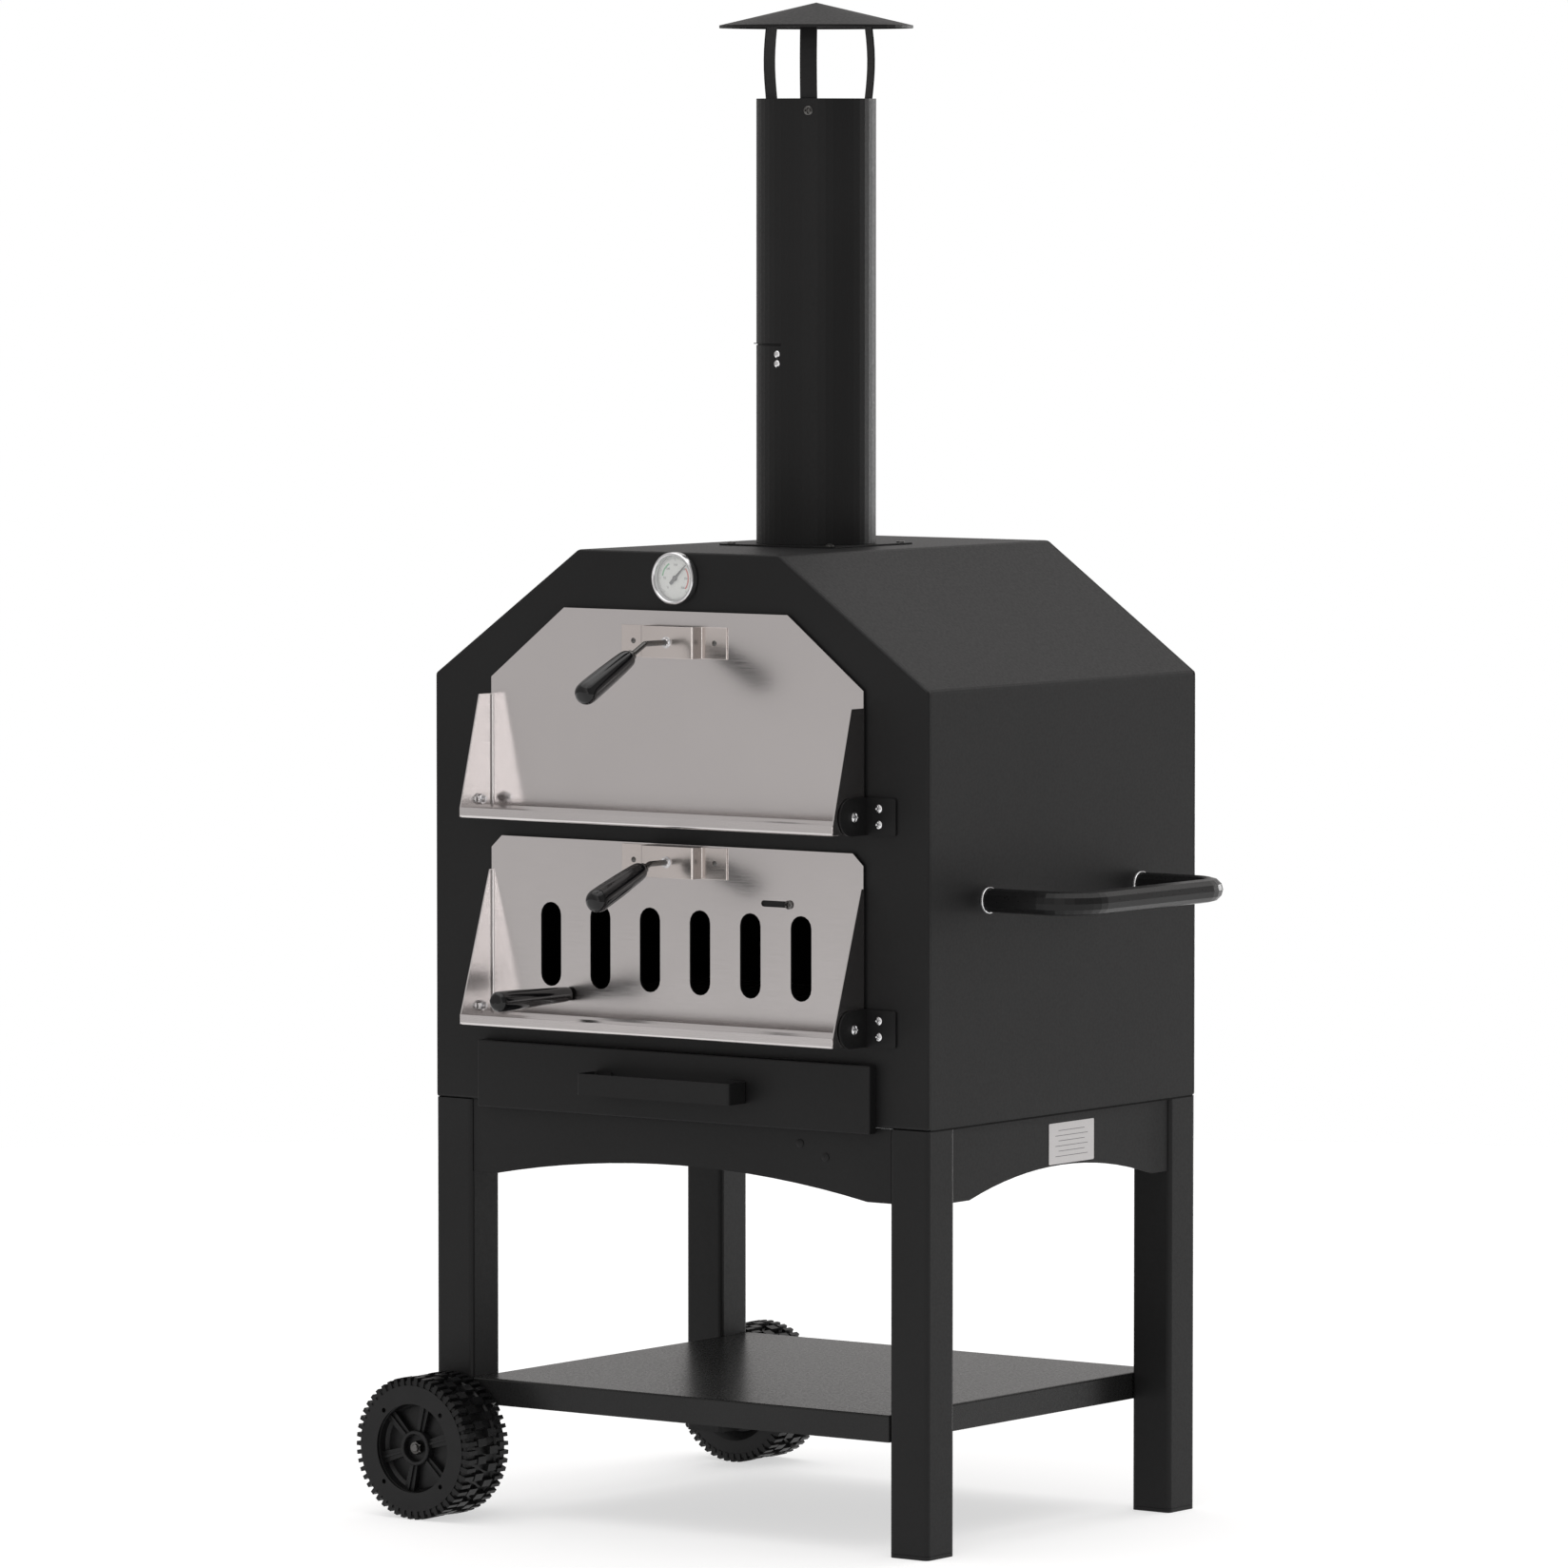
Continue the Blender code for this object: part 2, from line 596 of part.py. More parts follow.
def make_lower_door():
    z = BODY_BOTTOM
    top = z + 0.2815
    outline = door_outline(DOOR_HALF_W, z + 0.2690, 0.2280, top,
                           LOWER_PIVOT_Z - PIVOT_TO_LEDGE - 0.0002)
    door = door_sheet("lower_door_panel", outline, top, LOWER_PIVOT_Z, "lower_door")
    cuts = [slot_outline(u, *SLOT_Z, SLOT_W / 2) for u in slot_centres()]
    stud_x, stud_z = VENT_STUD
    guide_x, guide_z = VENT_GUIDE
    cuts.append(flat_slot_outline(stud_x - VENT_TRAVEL - 0.0045, stud_x + 0.0045, stud_z,
                                  0.0036))
    cuts.append(flat_slot_outline(guide_x - VENT_TRAVEL - 0.0050, guide_x + 0.0050, guide_z,
                                  0.0033))
    cutter = outline_mesh("air_slots", cuts, "Y", FRONT - 0.012, FRONT)
    boolean(door, place_cutter("air_slots", cutter))
    add_wings(door, "lower_door", z + 0.2455, 0.0045, LOWER_PIVOT_Z)
    make_handle("lower_handle", "lower_door", LOWER_HANDLE_Z, FRONT - 0.047, 20, 0.1055)
    make_vent()


def make_vent():
    outlines = [rounded_box((-0.200, BODY_BOTTOM + 0.1085), (0.200, BODY_BOTTOM + 0.2350),
                            0.004, 2)]
    outlines += [slot_outline(u, *SLOT_Z, SLOT_W / 2)[::-1] for u in slot_centres()]
    place("vent_slider", outline_mesh("vent_slider", outlines, "Y", FRONT - 0.0021,
                                      FRONT - 0.0009), POWDER_BLACK, "vent")
    stud = 0.0028
    root = 0.0060
    length = 0.128
    grip = [(0, length), (0.0070, length - 0.0008), (0.0098, length - 0.0038),
            (0.0108, length - 0.0090), (0.0105, length * 0.7), (0.0088, length * 0.35),
            (0.0078, root + 0.0025), (0.0066, root), (stud, root), (stud, 0.0005), (0, 0.0005)]
    turned("vent_grip", grip, 16, GRIP_BLACK, "vent",
           (VENT_STUD[0], FRONT - 0.0021, VENT_STUD[1]), (math.pi / 2, 0, 0))
    bolt = [(0, 0.0056), (0.0040, 0.0050), (0.0046, 0.0036), (0.0046, 0.0022),
            (0.0027, 0.0022), (0.0027, GAP), (0, GAP)]
    turned("vent_guide_bolt", bolt, 16, CAST_BLACK, "vent",
           (VENT_GUIDE[0], FRONT - 0.0021, VENT_GUIDE[1]), (math.pi / 2, 0, 0))


def make_handle(name, body, z, bend_y, droop, reach):
    """Hat-shaped bracket, bent steel rod and tapered grip; reach is from bend to tip."""
    flange_y = DOOR_FACE - GAP - SHEET / 2
    hat = [Vector(p) for p in ((-0.0680, flange_y), (-0.0355, flange_y),
                               (-0.0330, flange_y - HAT_RISE), (0.0330, flange_y - HAT_RISE),
                               (0.0355, flange_y), (0.0680, flange_y))]
    bracket = name + "_bracket"
    place(bracket, outline_mesh(bracket, [sheet_section(hat)], "Z", z - 0.0165, z + 0.0165),
          STAINLESS, body)
    slope = math.radians(droop)
    direction = Vector((0, -math.cos(slope), -math.sin(slope)))
    bend = Vector((0, bend_y, z))
    root = reach - 0.090
    start = Vector((0, flange_y - HAT_RISE - SHEET / 2 - GAP, z))
    path = filleted([start, bend, bend + direction * (root + 0.018)], (0.010,), 5)
    place(name + "_rod", bar_mesh(name + "_rod", path, ROD_R), ZINC, body, smooth=50)
    length = reach - root
    bore = ROD_R + GAP
    profile = [(0, length), (0.0060, length - 0.0008), (0.0100, length - 0.0035),
               (0.0121, length - 0.0085), (0.0124, length - 0.0180), (0.0118, length * 0.5),
               (0.0106, length * 0.2), (0.0098, 0.0050), (0.0080, 0.0008), (0.0065, 0),
               (bore, 0), (bore, 0.0200), (0, 0.0202)]
    turned(name + "_grip", profile, 16, GRIP_BLACK, body, bend + direction * root,
           (math.pi / 2 + slope, 0, 0))


def make_hinges():
    lug_x = WING_X + SHEET + 0.0008
    lug_t = 0.0020
    for level, body, pivot_z in (("upper", "upper_door", UPPER_PIVOT_Z),
                                 ("lower", "lower_door", LOWER_PIVOT_Z)):
        for side, sign in SIDES.items():
            name = "hinge_" + level + "_" + side
            nose = PIVOT_Y - 0.004
            lug = ([(FRONT - GAP, pivot_z - 0.0195), (FRONT - GAP, pivot_z + 0.0195)]
                   + arc((nose, pivot_z), 0.0195, 90, 270, 12))
            ends = sorted((sign * lug_x, sign * (lug_x + lug_t)))
            bracket = place(name, outline_mesh(name, [lug], "X", *ends), POWDER_BLACK)
            base_ends = sorted((sign * (lug_x + 0.0005), sign * 0.2810))
            base = outline_mesh(name + "_base",
                                [rounded_box((base_ends[0], pivot_z - 0.0190),
                                             (base_ends[1], pivot_z + 0.0190), 0.002, 2)],
                                "Y", FRONT - GAP - 0.0021, FRONT - GAP - 0.0001)
            boolean(bracket, place_cutter(name + "_base", base), "UNION")
            hole(bracket, name + "_hole", 0.0036, (sign * lug_x, PIVOT_Y, pivot_z), 0.02, "X")
            head = lug_x + lug_t + GAP
            inner = head - (WING_X - GAP)
            bolt = [(0, 0.0034), (0.0030, 0.0032), (0.0052, 0.0020), (0.0056, 0),
                    (0.0030, 0), (0.0030, -inner), (0.0056, -inner), (0.0056, -inner - 0.0046),
                    (0.0030, -inner - 0.0046), (0.0030, -inner - 0.0078),
                    (0, -inner - 0.0084)]
            turned(level + "_pivot_bolt_" + side, bolt, 12, ZINC, body,
                   (sign * head, PIVOT_Y, pivot_z), (0, sign * math.pi / 2, 0))


# ---------------------------------------------------------------- ash tray
def make_ash_tray():
    floor_top = BODY_BOTTOM + 0.0034
    low = floor_top + 0.0012
    high = BODY_BOTTOM + 0.0560
    back = 0.150
    outline = [(-0.2350, low), (0.2350, low), (0.2350, high), (-0.2350, high)]
    pan = place("ash_tray_pan",
                open_shell("ash_tray_pan", outline, "Y", FRONT - TRAY_PROUD + 0.0024, back,
                           lambda normal: normal.z > 0.9), POWDER_BLACK, "ash_tray")
    thicken(pan)
    z0, z1 = TRAY_FRONT_Z
    w = TRAY_FRONT_HALF_W
    front = place("ash_tray_front",
                  open_shell("ash_tray_front", [(-w, z0), (w, z0), (w, z1), (-w, z1)], "Y",
                             FRONT - TRAY_PROUD, FRONT - 0.0005,
                             lambda normal: normal.y > 0.9), POWDER_BLACK, "ash_tray")
    thicken(bevel(front, 0.0015, 2))
    mid_y = FRONT - TRAY_PROUD - GAP - SHEET / 2
    face_y = mid_y - 0.030
    path = filleted([(-0.076, mid_y), (-0.098, mid_y), (-0.098, face_y), (0.098, face_y),
                     (0.098, mid_y), (0.076, mid_y)], (0.0025, 0.0025, 0.0025, 0.0025), 3)
    place("ash_tray_handle",
          outline_mesh("ash_tray_handle", [sheet_section(path)], "Z",
                       BODY_BOTTOM + 0.0175, BODY_BOTTOM + 0.0400), POWDER_BLACK, "ash_tray")


# ---------------------------------------------------------------- stand
def make_legs():
    for side, side_sign in SIDES.items():
        for end, end_sign in ENDS.items():
            x = side_sign * (BODY_W / 2 - LEG / 2)
            y = end_sign * (BODY_D / 2 - LEG / 2)
            half = LEG / 2
            inner = half - LEG_WALL
            bottom = 0.0400 if side == "left" else 0.0043
            section = [rounded_box((x - half, y - half), (x + half, y + half), LEG_CORNER, 3),
                       rounded_box((x - inner, y - inner), (x + inner, y + inner), 0.002,
                                   1)[::-1]]
            name = "leg_" + end + "_" + side
            leg = place(name, outline_mesh(name, section, "Z", bottom, BODY_BOTTOM - GAP),
                        POWDER_BLACK)
            if side == "left":
                hole(leg, name + "_axle_hole", AXLE_R + GAP, (x, y, WHEEL_R), 0.1, "Y")
            else:
                make_foot_cap(end, x, y, inner)


def make_foot_cap(end, x, y, inner):
    name = "foot_cap_" + end
    plug_half = inner - 0.0006
    plate = outline_mesh(name, [rounded_box((x - LEG / 2, y - LEG / 2),
                                            (x + LEG / 2, y + LEG / 2), LEG_CORNER, 3)],
                         "Z", 0, 0.0040)
    cap = place(name, plate, WHEEL_BLACK)
    plug = outline_mesh(name + "_plug", [rounded_box((x - plug_half, y - plug_half),
                                                     (x + plug_half, y + plug_half),
                                                     0.0030, 2)], "Z", 0.0020, 0.0200)
    boolean(cap, place_cutter(name + "_plug", plug), "UNION")


def apron_outline(half):
    """A rail with a shallow arch under it and a short flat at each end."""
    top = BODY_BOTTOM - GAP
    end_z = top - APRON_END_H
    mid_z = top - APRON_MID_H
    run = half - APRON_FLAT
    rise = mid_z - end_z
    radius = (run * run + rise * rise) / (2 * rise)
    sweep = math.degrees(math.asin(run / radius))
    arch = arc((0, mid_z - radius), radius, 90 - sweep, 90 + sweep, 16)
    return [(half, end_z), (half, top), (-half, top), (-half, end_z)] + arch[::-1]


def make_aprons():
    long_half = BODY_W / 2 - LEG - GAP
    short_half = BODY_D / 2 - LEG - GAP
    for end, sign in ENDS.items():
        name = "apron_" + end
        ends = sorted((sign * (BODY_D / 2 - APRON_INSET),
                       sign * (BODY_D / 2 - APRON_INSET - APRON_SHEET)))
        place(name, outline_mesh(name, [apron_outline(long_half)], "Y", *ends), POWDER_BLACK)
    for side, sign in SIDES.items():
        name = "apron_" + side
        ends = sorted((sign * (BODY_W / 2 - APRON_INSET),
                       sign * (BODY_W / 2 - APRON_INSET - APRON_SHEET)))
        place(name, outline_mesh(name, [apron_outline(short_half)], "X", *ends), POWDER_BLACK)


def make_shelf():
    half_w = BODY_W / 2 - LEG - 0.0005
    outline = [(-half_w, SHELF_TOP - SHELF_LIP), (half_w, SHELF_TOP - SHELF_LIP),
               (half_w, SHELF_TOP), (-half_w, SHELF_TOP)]
    shelf = place("storage_shelf",
                  open_shell("storage_shelf", outline, "Y", FRONT, -FRONT,
                             lambda normal: normal.z < -0.9), POWDER_BLACK)
    thicken(bevel(shelf, 0.002, 2))


def make_side_handle():
    start = BODY_W / 2 + GAP
    reach = BODY_W / 2 + SIDE_HANDLE_REACH
    span = SIDE_HANDLE_HALF_SPAN
    corners = [(start, -span, SIDE_HANDLE_Z), (reach, -span, SIDE_HANDLE_Z),
               (reach, span, SIDE_HANDLE_Z), (start, span, SIDE_HANDLE_Z)]
    path = filleted(corners, (0.042, 0.042), 8)
    place("side_handle", bar_mesh("side_handle", path, SIDE_HANDLE_R, 4), POWDER_BLACK,
          smooth=50)


# ---------------------------------------------------------------- wheels
def make_wheels():
    half = WHEEL_W / 2
    bore = AXLE_R + GAP
    section = [(bore, half - 0.004), (0.0170, half - 0.004), (0.0180, half - 0.014),
               (0.0430, half - 0.016), (0.0500, half - 0.002), (0.0660, half),
               (WHEEL_R - 0.0015, half - 0.0030), (WHEEL_R, half - 0.0060),
               (WHEEL_R, 0.0060 - half), (WHEEL_R - 0.0015, 0.0030 - half), (0.0660, -half),
               (0.0500, 0.002 - half), (0.0430, 0.016 - half), (0.0180, 0.014 - half),
               (0.0170, -half), (bore, -half)]
    for end, sign in ENDS.items():
        turn = (math.pi / 2, 0, 0) if sign < 0 else (-math.pi / 2, 0, 0)
        name = "wheel_" + end
        turned(name, section, 36, WHEEL_BLACK, name, (AXLE_X, WHEEL_Y[end], WHEEL_R), turn,
               closed=True)
        outside = half - 0.004 + GAP
        reach = WHEEL_W + WHEEL_GAP + LEG
        bolt = [(0, outside + 0.0050), (0.0070, outside + 0.0042), (0.0095, outside + 0.0016),
                (0.0095, outside), (AXLE_R, outside), (AXLE_R, half - reach - 0.008),
                (0, half - reach - 0.009)]
        turned("wheel_bolt_" + end, bolt, 16, ZINC, "oven",
               (AXLE_X, WHEEL_Y[end], WHEEL_R), turn)


def main():
    make_body()
    make_inside()
    make_chimney()
    make_gauge()
    make_upper_door()
    make_lower_door()
    make_hinges()
    make_ash_tray()
    make_legs()
    make_aprons()
    make_shelf()
    make_side_handle()
    make_wheels()


main()
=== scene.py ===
"""Looks of a wood fired pizza oven on a two-wheeled stand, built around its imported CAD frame.

Metres, +Z up, the doors face -Y. Places are given from the middle of the oven body in X and
Y and from the floor in Z, and are read from the frame's own boxes where a part carries them.
"""
import math

import bmesh
import bpy
from bpy.props import FloatProperty, FloatVectorProperty, IntProperty, PointerProperty
from bpy.types import Operator, Panel, PropertyGroup
from mathutils import Matrix, Vector


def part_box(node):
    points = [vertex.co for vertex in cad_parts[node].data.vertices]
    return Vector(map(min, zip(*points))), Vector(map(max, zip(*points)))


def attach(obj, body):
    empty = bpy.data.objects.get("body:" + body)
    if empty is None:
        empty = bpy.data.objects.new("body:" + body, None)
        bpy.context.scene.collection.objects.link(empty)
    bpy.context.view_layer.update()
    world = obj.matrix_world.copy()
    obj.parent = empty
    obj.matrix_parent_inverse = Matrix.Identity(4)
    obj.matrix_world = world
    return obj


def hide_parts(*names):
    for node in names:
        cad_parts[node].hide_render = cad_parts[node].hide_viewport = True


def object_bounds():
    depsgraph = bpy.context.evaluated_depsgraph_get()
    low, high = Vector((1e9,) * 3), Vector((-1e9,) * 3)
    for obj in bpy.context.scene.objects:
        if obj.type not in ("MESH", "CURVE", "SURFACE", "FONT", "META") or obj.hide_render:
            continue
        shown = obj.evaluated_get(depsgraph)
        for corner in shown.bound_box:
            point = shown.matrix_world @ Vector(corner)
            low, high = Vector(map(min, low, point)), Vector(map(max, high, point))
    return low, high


bl_info = {
    "name": "Pizza oven looks",
    "version": (1, 0, 0),
    "blender": (4, 5, 0),
    "location": "3D View > Sidebar > Pizza oven",
    "description": "Finishes, fasteners, wheels and a studio for the wood fired pizza oven",
    "category": "Object",
}

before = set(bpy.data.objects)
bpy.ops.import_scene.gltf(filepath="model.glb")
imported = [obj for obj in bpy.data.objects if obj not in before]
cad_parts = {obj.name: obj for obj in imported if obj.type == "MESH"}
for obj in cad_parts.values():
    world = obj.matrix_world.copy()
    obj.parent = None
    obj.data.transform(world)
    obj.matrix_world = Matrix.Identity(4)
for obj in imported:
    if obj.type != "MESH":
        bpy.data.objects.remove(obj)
CAD_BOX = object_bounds()
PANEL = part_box("front_panel")
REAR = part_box("rear_panel")
MIDDLE = Vector(((PANEL[0].x + PANEL[1].x) / 2, (PANEL[0].y + REAR[1].y) / 2, 0))
BODY_LOW = PANEL[0].z
SHEET = 0.0015
SHARP_ANGLE = math.radians(60)


def at(x, y, z):
    """A place given from the middle of the body and the floor."""
    return Vector((MIDDLE.x + x, MIDDLE.y + y, z))


def outward(degrees):
    """The level direction at an angle round the chimney, counted from +X."""
    angle = math.radians(degrees)
    return Vector((math.cos(angle), math.sin(angle), 0))


def middle_box(node):
    """A node's low and high corners and its middle."""
    low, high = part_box(node)
    return low, high, (low + high) / 2


# ---------------------------------------------------------------- settings
class OvenFinishes(PropertyGroup):
    """Colours and gloss of the oven's finishes."""
    powder_colour: FloatVectorProperty(
        name="Powder coat", description="Colour of the black powder coat",
        subtype="COLOR", size=3, min=0, max=1, default=(0.0072, 0.0072, 0.0074))
    powder_roughness: FloatProperty(
        name="Powder roughness", description="How matt the powder coat is",
        subtype="FACTOR", min=0, max=1, default=0.50)
    steel_colour: FloatVectorProperty(
        name="Door steel", description="Colour of the satin stainless doors",
        subtype="COLOR", size=3, min=0, max=1, default=(0.60, 0.575, 0.57))
    steel_roughness: FloatProperty(
        name="Steel roughness", description="How blurred the doors' reflections are",
        subtype="FACTOR", min=0, max=1, default=0.20)
    bracket_colour: FloatVectorProperty(
        name="Bracket steel", description="Colour of the brighter handle brackets",
        subtype="COLOR", size=3, min=0, max=1, default=(0.66, 0.61, 0.585))
    zinc_colour: FloatVectorProperty(
        name="Zinc", description="Colour of the plated screws, nuts and rods",
        subtype="COLOR", size=3, min=0, max=1, default=(0.70, 0.70, 0.71))
    grip_colour: FloatVectorProperty(
        name="Grips", description="Colour of the glossy moulded grips",
        subtype="COLOR", size=3, min=0, max=1, default=(0.0045, 0.0045, 0.0050))
    wheel_colour: FloatVectorProperty(
        name="Wheels", description="Colour of the moulded wheels",
        subtype="COLOR", size=3, min=0, max=1, default=(0.0058, 0.0058, 0.0061))
    stone_colour: FloatVectorProperty(
        name="Pizza stone", description="Colour of the unglazed baking stone",
        subtype="COLOR", size=3, min=0, max=1, default=(0.56, 0.45, 0.32))


class OvenSizes(PropertyGroup):
    """Sizes of the fittings that are added to the frame."""
    tooth_count: IntProperty(
        name="Tyre teeth", description="Teeth round each rim edge of a wheel",
        min=12, max=90, default=50)
    rib_count: IntProperty(
        name="Wheel ribs", description="Raised ribs in the dish of a wheel",
        min=3, max=12, default=6)
    screw_radius: FloatProperty(
        name="Screw head", description="Radius of the hinge screws' heads",
        unit="LENGTH", min=0.001, max=0.01, default=0.0042)
    rivet_radius: FloatProperty(
        name="Rivet", description="Radius of the handle brackets' rivets",
        unit="LENGTH", min=0.001, max=0.01, default=0.0030)
    ferrule_width: FloatProperty(
        name="Ferrule", description="How far the side handle's base rings stand out round it",
        unit="LENGTH", min=0.0005, max=0.01, default=0.0016)
    rack_wire: FloatProperty(
        name="Rack wire", description="Diameter of the cooking rack's wires",
        unit="LENGTH", min=0.001, max=0.01, default=0.0040)


class OvenStudio(PropertyGroup):
    """Camera, floor and lamps."""
    azimuth: FloatProperty(
        name="Camera azimuth", description="Turn of the camera round the oven from the front",
        subtype="ANGLE", default=math.radians(36.3))
    elevation: FloatProperty(
        name="Camera elevation", description="Height of the camera above the horizon",
        subtype="ANGLE", default=math.radians(3.68))
    distance: FloatProperty(
        name="Camera distance", description="From the camera to the oven",
        unit="LENGTH", min=1, max=50, default=10.35)
    lens: FloatProperty(
        name="Lens", description="Focal length of the camera in millimetres",
        min=20, max=500, default=223.9)
    floor_colour: FloatVectorProperty(
        name="Floor", description="Colour of the plain floor",
        subtype="COLOR", size=3, min=0, max=1, default=(0.50, 0.50, 0.50))
    floor_glow: FloatProperty(
        name="Floor glow", description="Light given off by the floor, as by a light table",
        min=0, max=2, default=0.58)
    sun_strength: FloatProperty(
        name="Overhead light", description="Strength of the wide soft light from above",
        min=0, max=20, default=1.2)
    strip_power: FloatProperty(
        name="Strip lamp", description="Power of the tall narrow lamp behind on the right",
        unit="POWER", min=0, max=5000, default=60)
    front_power: FloatProperty(
        name="Front lamp", description="Power of the small far lamp in front on the right",
        unit="POWER", min=0, max=5000, default=20)
    sky: FloatProperty(
        name="Surround", description="Brightness of the white surround",
        min=0, max=5, default=1.0)


# ---------------------------------------------------------------- finishes
FINISHES = {}
NOISE_LOW, NOISE_HIGH = 0.3, 0.7


def new_finish(name, colour, roughness, metallic=0.0):
    """A named material: its node tree and its shader."""
    material = bpy.data.materials.new(name)
    material.use_nodes = True
    tree = material.node_tree
    shader = tree.nodes["Principled BSDF"]
    shader.inputs["Base Color"].default_value = (*colour, 1)
    shader.inputs["Roughness"].default_value = roughness
    shader.inputs["Metallic"].default_value = metallic
    FINISHES[name] = material
    return tree, shader


def add_node(tree, kind, **values):
    """A new node with its inputs, or else its own settings, filled in by name."""
    node = tree.nodes.new(kind)
    for key, value in values.items():
        if key in node.inputs:
            node.inputs[key].default_value = value
        else:
            setattr(node, key, value)
    return node


def surface_noise(tree, scale, detail=3.0, roughness=0.5, stretch=(1, 1, 1)):
    """Noise fixed to the piece, in its own metres, stretched along an axis."""
    coords = add_node(tree, "ShaderNodeTexCoord")
    mapping = add_node(tree, "ShaderNodeMapping")
    mapping.inputs["Scale"].default_value = stretch
    noise = add_node(tree, "ShaderNodeTexNoise", Scale=scale, Detail=detail)
    noise.inputs["Roughness"].default_value = roughness
    tree.links.new(coords.outputs["Object"], mapping.inputs["Vector"])
    tree.links.new(mapping.outputs["Vector"], noise.inputs["Vector"])
    return noise.outputs["Fac"]


def vary_roughness(tree, shader, source, low, high):
    """Lets the roughness wander between two values."""
    span = add_node(tree, "ShaderNodeMapRange", **{
        "From Min": NOISE_LOW, "From Max": NOISE_HIGH, "To Min": low, "To Max": high})
    tree.links.new(source, span.inputs["Value"])
    tree.links.new(span.outputs["Result"], shader.inputs["Roughness"])


def tint(tree, shader, source, colour, low, high):
    """Lets the base colour drift between two strengths of itself."""
    ramp = add_node(tree, "ShaderNodeValToRGB")
    ramp.color_ramp.elements[0].position = NOISE_LOW
    ramp.color_ramp.elements[1].position = NOISE_HIGH
    for element, strength in zip(ramp.color_ramp.elements, (low, high)):
        element.color = (*(channel * strength for channel in colour), 1)
    tree.links.new(source, ramp.inputs["Fac"])
    tree.links.new(ramp.outputs["Color"], shader.inputs["Base Color"])


def raise_surface(tree, shader, source, height, strength):
    """Bumps the surface by a height in metres."""
    bump = add_node(tree, "ShaderNodeBump", Strength=strength, Distance=height)
    tree.links.new(source, bump.inputs["Height"])
    tree.links.new(bump.outputs["Normal"], shader.inputs["Normal"])


def powder_coat(name, colour, roughness, grain=1500, height=0.00004):
    """Baked powder coat: near black with a fine orange-peel surface."""
    tree, shader = new_finish(name, colour, roughness)
    shader.inputs["Specular IOR Level"].default_value = 0.22
    cloud = surface_noise(tree, 6.0, 4.0)
    tint(tree, shader, cloud, colour, 0.86, 1.16)
    speck = surface_noise(tree, 340.0, 2.0)
    vary_roughness(tree, shader, speck, roughness - 0.05, roughness + 0.05)
    raise_surface(tree, shader, surface_noise(tree, grain, 2.0), height, 0.35)


def rolled_steel(name, colour, roughness):
    """Satin rolled stainless steel with a faint lengthways grain."""
    tree, shader = new_finish(name, colour, roughness, 1.0)
    tint(tree, shader, surface_noise(tree, 4.0, 3.0), colour, 0.97, 1.03)
    grain = surface_noise(tree, 900.0, 3.0, 0.6, (0.03, 1, 1))
    vary_roughness(tree, shader, grain, roughness - 0.03, roughness + 0.03)
    raise_surface(tree, shader, grain, 0.000006, 0.5)


def moulded_plastic(name, colour, roughness, coat=0.0, grain=700, height=0.00003):
    """Moulded plastic with a fine speck, and a clear coat where it is glossy."""
    tree, shader = new_finish(name, colour, roughness)
    shader.inputs["Specular IOR Level"].default_value = 0.24
    shader.inputs["Coat Weight"].default_value = coat
    shader.inputs["Coat Roughness"].default_value = 0.06
    tint(tree, shader, surface_noise(tree, 30.0, 3.0), colour, 0.8, 1.25)
    speck = surface_noise(tree, grain, 2.0)
    vary_roughness(tree, shader, speck, max(roughness - 0.05, 0.02), roughness + 0.05)
    raise_surface(tree, shader, speck, height, 0.3)


def baking_stone(name, colour):
    """Cordierite stone: sandy, speckled and lightly toasted."""
    tree, shader = new_finish(name, colour, 0.9)
    tint(tree, shader, surface_noise(tree, 9.0, 8.0, 0.65), colour, 0.78, 1.12)
    grit = surface_noise(tree, 900.0, 4.0, 0.7)
    vary_roughness(tree, shader, grit, 0.82, 0.98)
    raise_surface(tree, shader, grit, 0.0003, 0.6)


def cast_iron(name, colour):
    """Rough cast grate with ash-grey high spots."""
    tree, shader = new_finish(name, colour, 0.8)
    tint(tree, shader, surface_noise(tree, 60.0, 6.0, 0.7), colour, 0.6, 1.9)
    pits = surface_noise(tree, 450.0, 4.0, 0.65)
    vary_roughness(tree, shader, pits, 0.68, 0.92)
    raise_surface(tree, shader, pits, 0.0004, 0.7)


def printed(name, colour, roughness):
    """Printed card or enamel with a slight paper tone."""
    tree, shader = new_finish(name, colour, roughness)
    fibre = surface_noise(tree, 500.0, 3.0)
    tint(tree, shader, fibre, colour, 0.97, 1.02)
    raise_surface(tree, shader, fibre, 0.00001, 0.3)


def clear_glass(name):
    """Thin clear glass with a faint film."""
    tree, shader = new_finish(name, (0.95, 0.97, 0.97), 0.04)
    shader.inputs["Alpha"].default_value = 0.13
    film = surface_noise(tree, 40.0, 2.0)
    vary_roughness(tree, shader, film, 0.03, 0.07)


